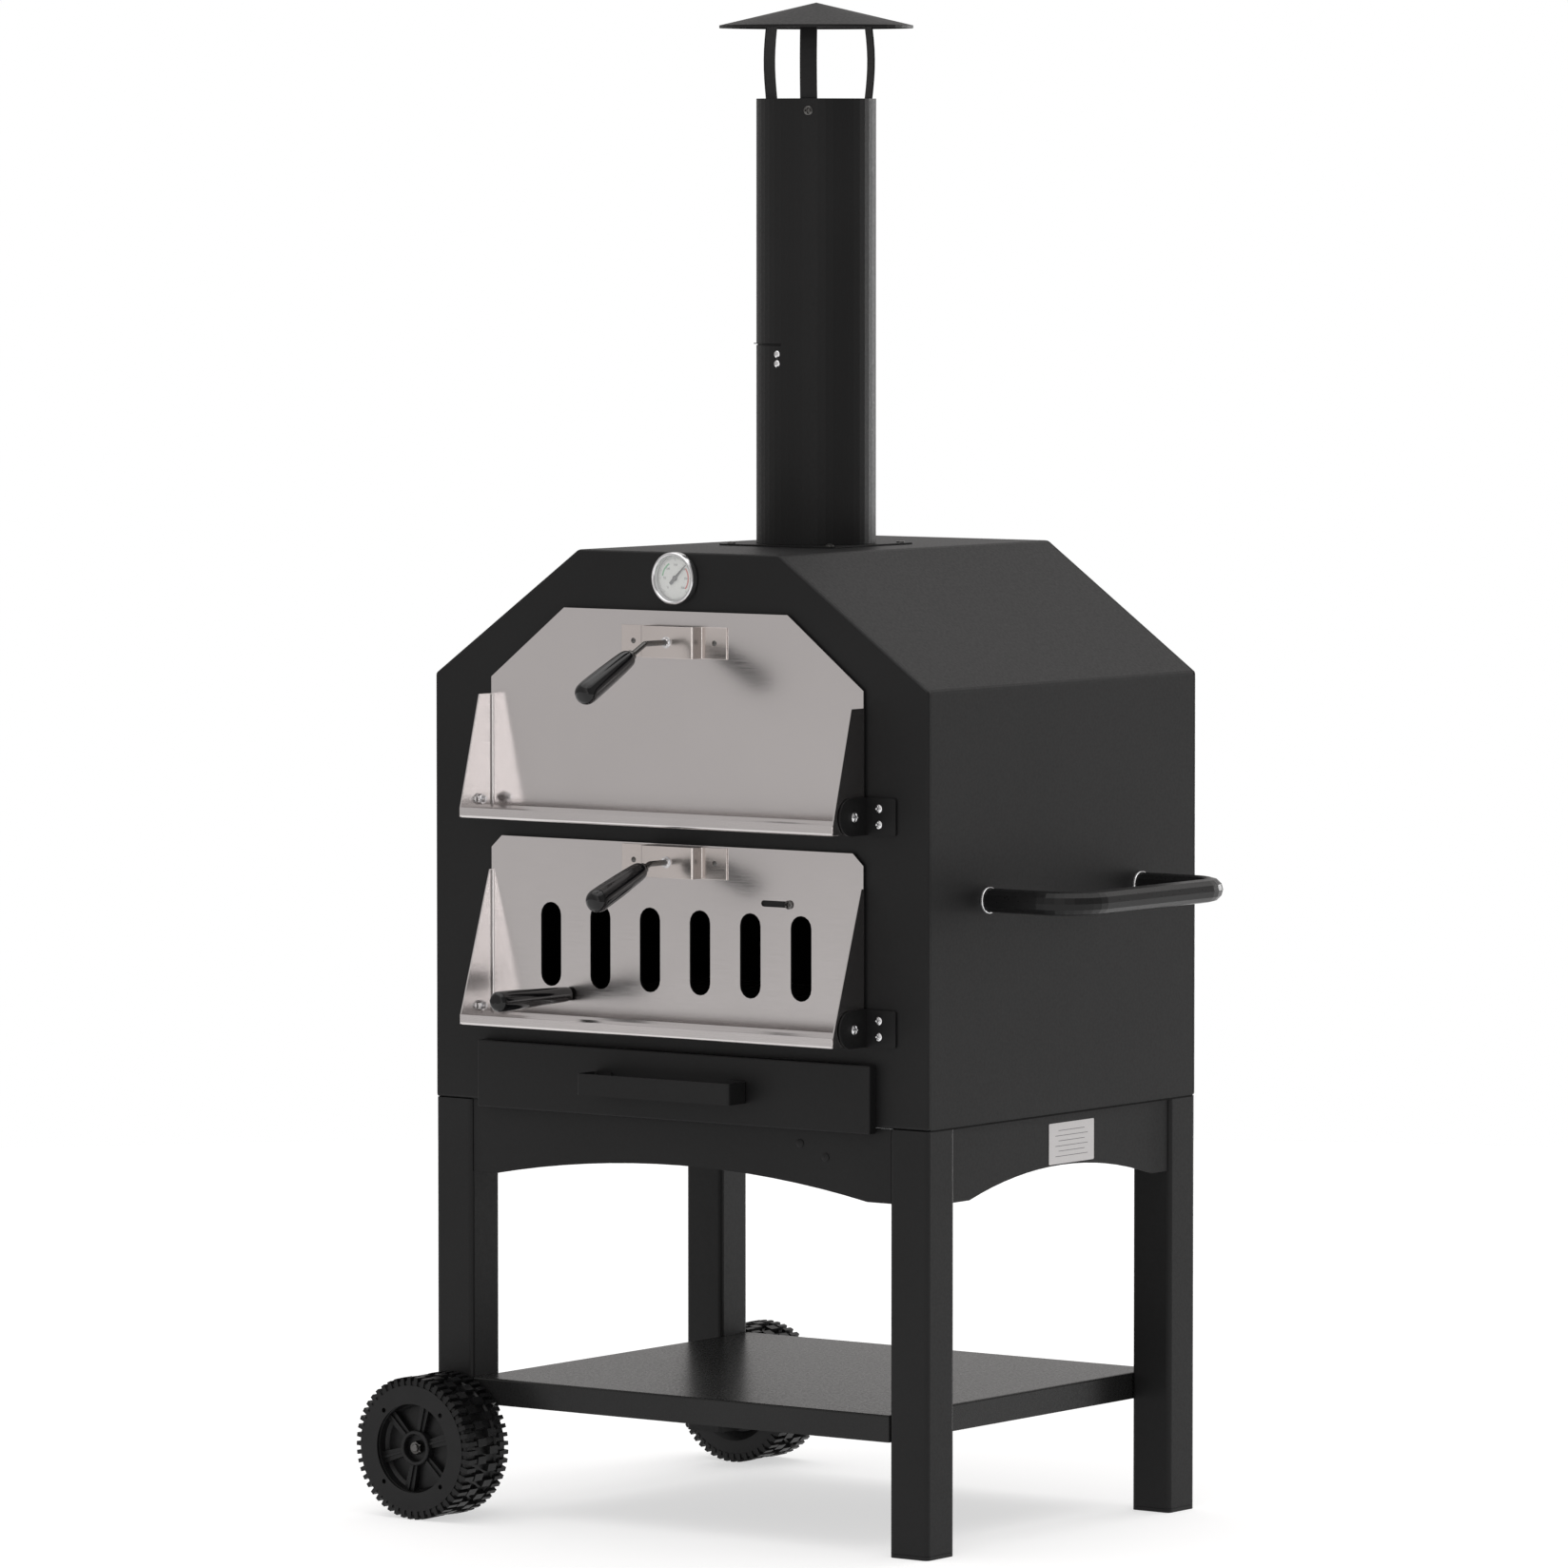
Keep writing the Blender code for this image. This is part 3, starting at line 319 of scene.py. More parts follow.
class OVEN_OT_mix_finishes(Operator):
    """Makes every finish of the oven as a procedural material"""
    bl_idname = "oven.mix_finishes"
    bl_label = "Mix finishes"
    bl_options = {"REGISTER", "UNDO"}

    def execute(self, context):
        look = context.scene.oven_finishes
        powder_coat("powder_black", look.powder_colour, look.powder_roughness)
        powder_coat("shelf_black", (0.012, 0.012, 0.012), 0.29)
        powder_coat("handle_black", look.powder_colour, 0.32, 900, 0.00002)
        # near-black and matt: painted shade for the shadowed gap between the body and the stand
        powder_coat("painted_seam_shade", (0.0004, 0.0004, 0.0004), 0.85)
        rolled_steel("door_steel", look.steel_colour, look.steel_roughness)
        rolled_steel("bracket_steel", look.bracket_colour, 0.20)
        rolled_steel("zinc_plate", look.zinc_colour, 0.22)
        rolled_steel("dark_zinc", (0.11, 0.107, 0.104), 0.28)
        moulded_plastic("grip_gloss", look.grip_colour, 0.12, 0.2, 300, 0.00001)
        moulded_plastic("wheel_black", look.wheel_colour, 0.40)
        moulded_plastic("foot_black", look.wheel_colour, 0.50)
        baking_stone("baking_stone", look.stone_colour)
        cast_iron("cast_iron", (0.030, 0.028, 0.026))
        printed("dial_card", (0.66, 0.67, 0.65), 0.45)
        printed("dial_ink", (0.05, 0.05, 0.055), 0.5)
        printed("dial_red", (0.52, 0.12, 0.10), 0.5)
        printed("dial_green", (0.16, 0.40, 0.22), 0.5)
        printed("label_film", (0.58, 0.565, 0.565), 0.38)
        printed("label_ink", (0.17, 0.165, 0.17), 0.45)
        clear_glass("gauge_glass")
        return {"FINISHED"}


# ---------------------------------------------------------------- mesh tools
def facing(direction, place):
    """A matrix that turns a piece's own Z to a direction and moves it to a place."""
    z = Vector(direction).normalized()
    side = Vector((0, 0, 1)) if abs(z.z) < 0.9 else Vector((0, 1, 0))
    x = side.cross(z).normalized()
    turn = Matrix((x, z.cross(x), z)).transposed().to_4x4()
    return Matrix.Translation(place) @ turn


def add_to_scene(name, data):
    """Links a new object to the scene."""
    thing = bpy.data.objects.new(name, data)
    bpy.context.scene.collection.objects.link(thing)
    return thing


def curve_mesh(curve):
    """The mesh that a curve or a text draws."""
    drawn = add_to_scene(curve.name, curve)
    evaluated = drawn.evaluated_get(bpy.context.evaluated_depsgraph_get())
    mesh = bpy.data.meshes.new_from_object(evaluated)
    bpy.data.objects.remove(drawn)
    return mesh


def set_piece(name, bm, finish, body, slot, where=Matrix.Identity(4), smooth=35,
              replaces=()):
    """Finishes a bmesh as a named piece of the oven that rides on a body."""
    bm.transform(where)
    bmesh.ops.recalc_face_normals(bm, faces=bm.faces)
    mesh = bpy.data.meshes.new(name)
    bm.to_mesh(mesh)
    bm.free()
    mesh.materials.append(FINISHES[finish])
    mesh.shade_smooth()
    mesh.set_sharp_from_angle(angle=math.radians(smooth))
    piece = add_to_scene(name, mesh)
    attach(piece, body)
    if replaces:
        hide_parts(*replaces)
    return piece


def ease_edges(piece, width):
    """Rounds the sharp edges of a piece a little."""
    bevel = piece.modifiers.new("edge", "BEVEL")
    bevel.width = width
    bevel.segments = 2
    bevel.limit_method = "ANGLE"
    bevel.angle_limit = SHARP_ANGLE


def turn_profile(bm, profile, steps, where=Matrix.Identity(4), shape=None):
    """Adds a turned body to a bmesh: (radius, height) points, closed at the axis or round."""
    rings = []
    for radius, height in profile:
        if radius == 0:
            rings.append([bm.verts.new(where @ Vector((0, 0, height)))])
            continue
        ring = []
        for i in range(steps):
            angle = math.tau * i / steps
            r = shape(radius, angle) if shape else radius
            place = Vector((r * math.cos(angle), r * math.sin(angle), height))
            ring.append(bm.verts.new(where @ place))
        rings.append(ring)
    pairs = list(zip(rings, rings[1:]))
    if len(rings[0]) > 1 and len(rings[-1]) > 1:
        pairs.append((rings[-1], rings[0]))
    for first, second in pairs:
        for i in range(steps):
            j = (i + 1) % steps
            corners = [first[i % len(first)], first[j % len(first)],
                       second[j % len(second)], second[i % len(second)]]
            corners = list(dict.fromkeys(corners))
            if len(corners) > 2:
                bm.faces.new(corners)


def turned(name, profile, steps, *facts, **more):
    """A turned profile as a piece of its own."""
    bm = bmesh.new()
    turn_profile(bm, profile, steps)
    set_piece(name, bm, *facts, **more)


def add_screw(bm, radius, height, where, cross=True):
    """A pan-head screw with a cross recess, standing on a surface."""
    profile = [(0, height)]
    for i in range(1, 9):
        t = i / 8
        profile.append((radius * t, height * math.cos(t * 1.25) ** 0.7))
    profile += [(radius, 0), (0, 0)]

    first = len(bm.verts)
    turn_profile(bm, profile, 24, where)
    if not cross:
        return
    bm.verts.ensure_lookup_table()
    back = where.inverted()
    for vert in bm.verts[first:]:
        local = back @ vert.co
        reach = math.hypot(local.x, local.y)
        slotted = min(abs(local.x), abs(local.y)) < radius * 0.16
        if slotted and reach < radius * 0.66 and local.z > height * 0.4:
            local.z -= height * 0.5
            vert.co = where @ local


def add_hex(bm, across, height, where, bore=0.0, washer=0.0):
    """A chamfered hexagon nut or head, with a threaded end or a flange washer.

    A radius under 0 stands for a round corner, and any other is cut back to the flats.
    """
    flat = across / 2

    def hexagon(r, angle):
        if r < 0:
            return -r
        bend = (angle + math.pi / 6) % (math.pi / 3) - math.pi / 6
        return min(r, flat / math.cos(bend))

    profile = [(0, height * 0.92), (-flat * 0.96, height), (across, height * 0.84),
               (across, height * 0.1), (-flat * 0.97, 0), (0, 0)]
    if bore:
        profile = [(0, height * 1.35), (-bore * 0.85, height * 1.35), (-bore, height * 1.25),
                   (-bore, height * 0.95), (-flat * 0.96, height)] + profile[2:]
    turn_profile(bm, profile, 48, where, hexagon)
    if washer:
        disc = [(0, 0.0009), (washer * 0.96, 0.0009), (washer, 0.0005), (washer, 0),
                (0, 0)]
        turn_profile(bm, disc, 36, where)


def add_bar(bm, path, radius, sides=12, closed=False):
    """A round wire along a path of points."""
    rings = []
    count = len(path)
    for i, point in enumerate(path):
        before = path[i - 1] if i or closed else path[i]
        after = path[(i + 1) % count] if i + 1 < count or closed else path[i]
        along = (Vector(after) - Vector(before)).normalized()
        side = Vector((0, 0, 1)) if abs(along.z) < 0.9 else Vector((1, 0, 0))
        u = along.cross(side).normalized()
        v = along.cross(u)
        rings.append([bm.verts.new(Vector(point) + (u * math.cos(math.tau * k / sides)
                                                    + v * math.sin(math.tau * k / sides))
                                   * radius) for k in range(sides)])
    pairs = list(zip(rings, rings[1:]))
    if closed:
        pairs.append((rings[-1], rings[0]))
    for first, second in pairs:
        for k in range(sides):
            n = (k + 1) % sides
            bm.faces.new((first[k], first[n], second[n], second[k]))
    if not closed:
        bm.faces.new(rings[0][::-1])
        bm.faces.new(rings[-1])


def add_block(bm, low, high, where=Matrix.Identity(4), taper=1.0):
    """A block from low to high whose top can be narrower than its foot."""
    corners = []
    for z, scale in ((low[2], 1.0), (high[2], taper)):
        cx, cy = (low[0] + high[0]) / 2, (low[1] + high[1]) / 2
        hx, hy = (high[0] - low[0]) / 2 * scale, (high[1] - low[1]) / 2 * scale
        for sx, sy in ((-1, -1), (1, -1), (1, 1), (-1, 1)):
            corners.append(bm.verts.new(where @ Vector((cx + sx * hx, cy + sy * hy, z))))
    for face in ((3, 2, 1, 0), (4, 5, 6, 7), (0, 1, 5, 4), (1, 2, 6, 5), (2, 3, 7, 6),
                 (3, 0, 4, 7)):
        bm.faces.new([corners[i] for i in face])


def arc_points(radius, start, end, steps, centre=(0, 0)):
    """Points along an arc, between two angles in degrees."""
    turn = [math.radians(start + (end - start) * i / steps) for i in range(steps + 1)]
    return [(centre[0] + radius * math.cos(a), centre[1] + radius * math.sin(a)) for a in turn]


def add_plate(bm, outline, low, high, where=Matrix.Identity(4)):
    """A flat outline in X and Y from low to high in Z."""
    rings = [[bm.verts.new(where @ Vector((x, y, z))) for x, y in outline]
             for z in (low, high)]
    bm.faces.new(rings[0][::-1])
    bm.faces.new(rings[1])
    count = len(outline)
    for i in range(count):
        j = (i + 1) % count
        bm.faces.new((rings[0][i], rings[0][j], rings[1][j], rings[1][i]))


def rounded_path(points, radius, steps):
    """A path in X and Y with its inner corners rounded."""
    path = [Vector(points[0])]
    for before, corner, after in zip(points, points[1:], points[2:]):
        corner = Vector(corner)
        towards = (Vector(before) - corner).normalized()
        away = (Vector(after) - corner).normalized()
        half = towards.angle(away) / 2
        centre = corner + (towards + away).normalized() * (radius / math.sin(half))
        start = corner + towards * (radius / math.tan(half)) - centre
        end = corner + away * (radius / math.tan(half)) - centre
        sweep = start.angle(end)
        for i in range(steps + 1):
            t = i / steps
            blend = start * math.sin((1 - t) * sweep) + end * math.sin(t * sweep)
            path.append(centre + blend / math.sin(sweep))
    path.append(Vector(points[-1]))
    return path


def sheet_outline(path, thickness):
    """The closed outline of a bent sheet whose middle follows a path."""
    left, right = [], []
    for i, point in enumerate(path):
        before = (point - path[i - 1]).normalized() if i else None
        after = (path[i + 1] - point).normalized() if i + 1 < len(path) else before
        before = before or after
        along = (before + after).normalized()
        across = Vector((-along.y, along.x)) * (thickness / 2 / along.dot(after))
        left.append(tuple(point + across))
        right.append(tuple(point - across))
    return left + right[::-1]


# ---------------------------------------------------------------- finishes on the frame
NODE_FINISH = {
    "shelf_black": ["storage_shelf"],
    "handle_black": ["side_handle"],
    "door_steel": ["upper_door_panel", "lower_door_panel"],
    "bracket_steel": ["upper_handle_bracket", "lower_handle_bracket"],
    "dark_zinc": ["upper_handle_rod", "lower_handle_rod"],
    "zinc_plate": ["upper_pivot_bolt_left", "upper_pivot_bolt_right",
                   "lower_pivot_bolt_left", "lower_pivot_bolt_right", "gauge_case",
                   "cooking_rack"],
    "foot_black": ["foot_cap_front", "foot_cap_back"],
    "baking_stone": ["pizza_stone"],
    "cast_iron": ["charcoal_grate", "vent_guide_bolt", "wheel_bolt_front",
                  "wheel_bolt_back"],
    "grip_gloss": ["upper_handle_grip", "lower_handle_grip", "vent_grip"],
    "wheel_black": ["wheel_front", "wheel_back"],
    "dial_card": ["gauge_dial"],
    "dial_ink": ["gauge_needle"],
    "gauge_glass": ["gauge_lens"],
}
EASED_EDGES = ("body_wrap", "ash_tray_front", "storage_shelf", "leg_", "apron_")
EASED_WIDTH = 0.0011


class OVEN_OT_coat_frame(Operator):
    """Gives every part of the frame its finish, which is powder coat unless listed"""
    bl_idname = "oven.coat_frame"
    bl_label = "Coat the frame"
    bl_options = {"REGISTER", "UNDO"}

    def execute(self, context):
        finish_of = {node: finish for finish, nodes in NODE_FINISH.items() for node in nodes}
        for node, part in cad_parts.items():
            part.data.materials.clear()
            part.data.materials.append(FINISHES[finish_of.get(node, "powder_black")])
            if node.startswith(EASED_EDGES):
                ease_edges(part, EASED_WIDTH)
        return {"FINISHED"}


# ---------------------------------------------------------------- stage
CAMERA_TARGET = (-0.0400, -0.0030, 0.7720)
FLOOR_RADIUS = 4.0
SURROUND_BEARING = (0.95, 0.15, 0.25)
SURROUND_WARMTH = (1, 0.975, 0.965)
# places along the bearing, from the far left to the far right, and their brightness
SURROUND_STOPS = ((0.0, 0.46), (0.15, 0.62), (0.29, 0.62), (0.45, 0.70), (0.62, 0.90),
                  (0.73, 1.30), (0.83, 0.36), (1.0, 0.45))


class OVEN_OT_build_stage(Operator):
    """Sets up the plain floor, the soft lamps, the white surround and the camera"""
    bl_idname = "oven.build_stage"
    bl_label = "Build the stage"
    bl_options = {"REGISTER", "UNDO"}

    def execute(self, context):
        studio = context.scene.oven_studio
        self.make_surround(context.scene, studio)
        self.make_floor(studio)
        self.make_lamps(studio)
        self.make_camera(context.scene, studio)
        return {"FINISHED"}

    def make_surround(self, scene, studio):
        """White to the camera, and light and dark bands for the oven to reflect."""
        scene.view_settings.view_transform = "Standard"
        world = bpy.data.worlds.new("studio_surround")
        world.use_nodes = True
        tree = world.node_tree
        background = tree.nodes["Background"]
        background.inputs["Strength"].default_value = studio.sky
        coords = add_node(tree, "ShaderNodeTexCoord")
        bearing = add_node(tree, "ShaderNodeVectorMath", operation="DOT_PRODUCT")
        bearing.inputs[1].default_value = SURROUND_BEARING
        ramp = add_node(tree, "ShaderNodeValToRGB")
        while len(ramp.color_ramp.elements) < len(SURROUND_STOPS):
            ramp.color_ramp.elements.new(0.5)
        for element, (place, level) in zip(ramp.color_ramp.elements, SURROUND_STOPS):
            element.position = place
            element.color = (*(level * channel for channel in SURROUND_WARMTH), 1)
        lift = add_node(tree, "ShaderNodeMapRange")
        lift.inputs["From Min"].default_value = -1.0
        tree.links.new(coords.outputs["Generated"], bearing.inputs[0])
        tree.links.new(bearing.outputs["Value"], lift.inputs["Value"])
        tree.links.new(lift.outputs["Result"], ramp.inputs["Fac"])
        seen = add_node(tree, "ShaderNodeLightPath")
        mix = add_node(tree, "ShaderNodeMix", data_type="RGBA")
        colour_in = [s for s in mix.inputs if s.type == "RGBA"]
        colour_in[1].default_value = (1.0, 1.0, 1.0, 1)
        tree.links.new(seen.outputs["Is Camera Ray"], mix.inputs["Factor"])
        tree.links.new(ramp.outputs["Color"], colour_in[0])
        result = [s for s in mix.outputs if s.type == "RGBA"][0]
        tree.links.new(result, background.inputs["Color"])
        scene.world = world

    def make_floor(self, studio):
        tree, shader = new_finish("studio_floor", studio.floor_colour, 0.7)
        shader.inputs["Specular IOR Level"].default_value = 0.0
        shader.inputs["Emission Color"].default_value = (1, 1, 1, 1)
        shader.inputs["Emission Strength"].default_value = studio.floor_glow
        tint(tree, shader, surface_noise(tree, 2.0, 2.0), studio.floor_colour, 0.995, 1.0)
        bm = bmesh.new()
        bmesh.ops.create_circle(bm, cap_ends=True, segments=128, radius=FLOOR_RADIUS)
        mesh = bpy.data.meshes.new("studio_floor")
        bm.to_mesh(mesh)
        bm.free()
        mesh.materials.append(FINISHES["studio_floor"])
        floor = add_to_scene("studio_floor", mesh)
        floor.location.z = CAD_BOX[0].z - 0.0002

    def make_lamps(self, studio):
        sun = bpy.data.lights.new("overhead_light", "SUN")
        sun.energy = studio.sun_strength
        sun.angle = math.radians(80)
        add_to_scene("overhead_light", sun)
        for name, power, width, height, place in (
                ("strip_lamp", studio.strip_power, 0.5, 2.4, (0.60, 5.6, 1.15)),
                ("front_lamp", studio.front_power, 1.0, 1.0, (6.90, -10.0, 0.15))):
            lamp = bpy.data.lights.new(name, "AREA")
            lamp.energy = power
            lamp.shape = "RECTANGLE"
            lamp.size, lamp.size_y = width, height
            holder = add_to_scene(name, lamp)
            holder.location = at(*place)
            holder.rotation_mode = "QUATERNION"
            aim = at(0, 0, place[2]) - holder.location
            holder.rotation_quaternion = aim.to_track_quat("-Z", "Y")
            holder.visible_camera = False

    def make_camera(self, scene, studio):
        turn, lift = studio.azimuth, studio.elevation
        back = Vector((math.sin(turn) * math.cos(lift), -math.cos(turn) * math.cos(lift),
                       math.sin(lift)))
        right = Vector((math.cos(turn), math.sin(turn), 0))
        up = back.cross(right)
        data = bpy.data.cameras.new("camera")
        data.lens = studio.lens
        data.sensor_width = 36
        data.clip_end = 200
        camera = add_to_scene("camera", data)
        turn_matrix = Matrix((right, up, back)).transposed().to_4x4()
        place = at(*CAMERA_TARGET) + back * studio.distance
        camera.matrix_world = Matrix.Translation(place) @ turn_matrix
        scene.camera = camera


# ---------------------------------------------------------------- chimney
STRAP_ANGLES = (-61.5, 58.5, 178.5)
RIVET_ANGLE = -94.9
FLANGE_SCREW = 0.0640


class OVEN_OT_fit_chimney(Operator):
    """Fits the chimney's rivets, strap screws and roof flange screws"""
    bl_idname = "oven.fit_chimney"
    bl_label = "Fit the chimney"
    bl_options = {"REGISTER", "UNDO"}

    def execute(self, context):
        self.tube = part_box("chimney_tube")
        self.fit_rivets()
        self.fit_strap_screws()
        self.fit_flange_screws()
        return {"FINISHED"}

    def on_tube(self, degrees, height):
        """A matrix that stands a fastener on the tube's wall."""
        out = outward(degrees)
        radius = (self.tube[1].x - self.tube[0].x) / 2
        return facing(out, MIDDLE + out * (radius - 0.0002) + Vector((0, 0, height)))

    def fit_rivets(self):
        bm = bmesh.new()
        slot_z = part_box("damper_plate")[1].z
        dome = [(0, 0.0016), (0.0016, 0.0015), (0.0030, 0.0010), (0.0038, 0.0002),
                (0.0038, 0), (0, 0)]
        for drop in (0.0105, 0.0205):
            turn_profile(bm, dome, 24, self.on_tube(RIVET_ANGLE, slot_z - drop))
        set_piece("chimney_rivets", bm, "zinc_plate", "oven", "zinc")

    def fit_strap_screws(self):
        bm = bmesh.new()
        for degrees in STRAP_ANGLES:
            add_screw(bm, 0.0048, 0.0028, self.on_tube(degrees, self.tube[1].z - 0.0128))
        set_piece("cap_strap_screws", bm, "dark_zinc", "oven", "zinc")

    def fit_flange_screws(self):
        bm = bmesh.new()
        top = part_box("chimney_flange")[1].z
        for x in (-FLANGE_SCREW, FLANGE_SCREW):
            for y in (-FLANGE_SCREW, FLANGE_SCREW):
                add_screw(bm, 0.0046, 0.0026, facing((0, 0, 1), at(x, y, top)))
        set_piece("flange_screws", bm, "dark_zinc", "oven", "zinc")


# ---------------------------------------------------------------- thermometer
DIAL_FACE = 0.0028
DIAL_ZERO, DIAL_SWEEP = 225, 270
DIAL_TICKS, DIAL_NUMBERS = 60, 6


class OVEN_OT_fit_thermometer(Operator):
    """Builds the thermometer's bezel, printed dial and glass"""
    bl_idname = "oven.fit_thermometer"
    bl_label = "Fit the thermometer"
    bl_options = {"REGISTER", "UNDO"}

    def execute(self, context):
        low, high, mid = middle_box("gauge_case")
        self.radius = (high.x - low.x) / 2
        self.face = facing((0, -1, 0), (mid.x, PANEL[0].y, mid.z))
        self.make_case()
        self.make_dial()
        self.print_scale()
        self.print_numbers()
        return {"FINISHED"}

    def make_case(self):
        r = self.radius
        profile = [(0.0228, 0.0030), (0.0232, 0.0072), (0.0238, 0.0088), (0.0248, 0.0095),
                   (0.0259, 0.0095), (0.0267, 0.0089), (r, 0.0078), (r, 0.0012),
                   (0.0264, 0.0003), (0.0050, 0.0003), (0.0050, -0.0060),
                   (0.0030, -0.0070), (0.0030, -0.0575), (0.0018, -0.0588), (0, -0.0590),
                   (0, 0.0018), (0.0228, 0.0018)]
        turned("thermometer_case", profile, 96, "zinc_plate", "oven", "zinc",
               where=self.face, replaces=("gauge_case",))
        glass = [(0, 0.0081), (0.0120, 0.0080), (0.0236, 0.0076), (0.0236, 0.0069),
                 (0, 0.0072)]
        turned("thermometer_glass", glass, 72, "gauge_glass", "oven", "lens",
               where=self.face, replaces=("gauge_lens",))

    def make_dial(self):
        disc = [(0, DIAL_FACE), (0.0222, DIAL_FACE), (0.0226, 0.0025), (0.0226, 0.0021),
                (0, 0.0021)]
        turned("thermometer_dial", disc, 72, "dial_card", "oven", "dial_white",
               where=self.face, replaces=("gauge_dial",))

    def print_scale(self):
        ink = bmesh.new()
        for i in range(DIAL_TICKS + 1):
            angle = math.radians(DIAL_ZERO - DIAL_SWEEP * i / DIAL_TICKS)
            length = 0.0026 if i % 10 == 0 else 0.0019 if i % 5 == 0 else 0.0012
            width = 0.00022 if i % 10 == 0 else 0.00012
            where = self.face @ Matrix.Rotation(angle, 4, "Z")
            add_block(ink, (0.0212 - length, -width, DIAL_FACE), (0.0212, width, 0.00292),
                      where)
        ring = [(0.02128, 0.00292), (0.02145, 0.00292), (0.02145, DIAL_FACE),
                (0.02128, DIAL_FACE)]
        turn_profile(ink, ring, 96, self.face)
        hub = [(0, 0.0043), (0.0016, 0.0042), (0.0021, 0.0036), (0.0021, DIAL_FACE),
               (0, DIAL_FACE)]
        turn_profile(ink, hub, 24, self.face)
        set_piece("thermometer_scale", ink, "dial_ink", "oven", "needle_black", smooth=30)
        for name, finish, start, end in (("red", "dial_red", -40, 38),
                                         ("green", "dial_green", 118, 172)):
            band = bmesh.new()
            outline = (arc_points(0.0176, start, end, 24)
                       + arc_points(0.0158, end, start, 24))
            add_plate(band, outline, DIAL_FACE, 0.00287, self.face)
            set_piece("thermometer_band_" + name, band, finish, "oven", "dial_white")

    def print_numbers(self):
        joined = bmesh.new()
        for i in range(DIAL_NUMBERS + 1):
            curve = bpy.data.curves.new("dial_number", "FONT")
            curve.body = str(i * 50)
            curve.size = 0.0034
            curve.align_x = "CENTER"
            curve.align_y = "CENTER"
            curve.extrude = 0.00004
            mesh = curve_mesh(curve)
            place = outward(DIAL_ZERO - DIAL_SWEEP * i / DIAL_NUMBERS) * 0.0138
            place.z = 0.00285
            mesh.transform(self.face @ Matrix.Translation(place))
            joined.from_mesh(mesh)
            bpy.data.meshes.remove(mesh)
        set_piece("thermometer_numbers", joined, "dial_ink", "oven", "needle_black", smooth=30)


# ---------------------------------------------------------------- doors
# tops of the folded wings over the foot of the body
WING_TOP = {"upper": 0.4300, "lower": 0.2445}


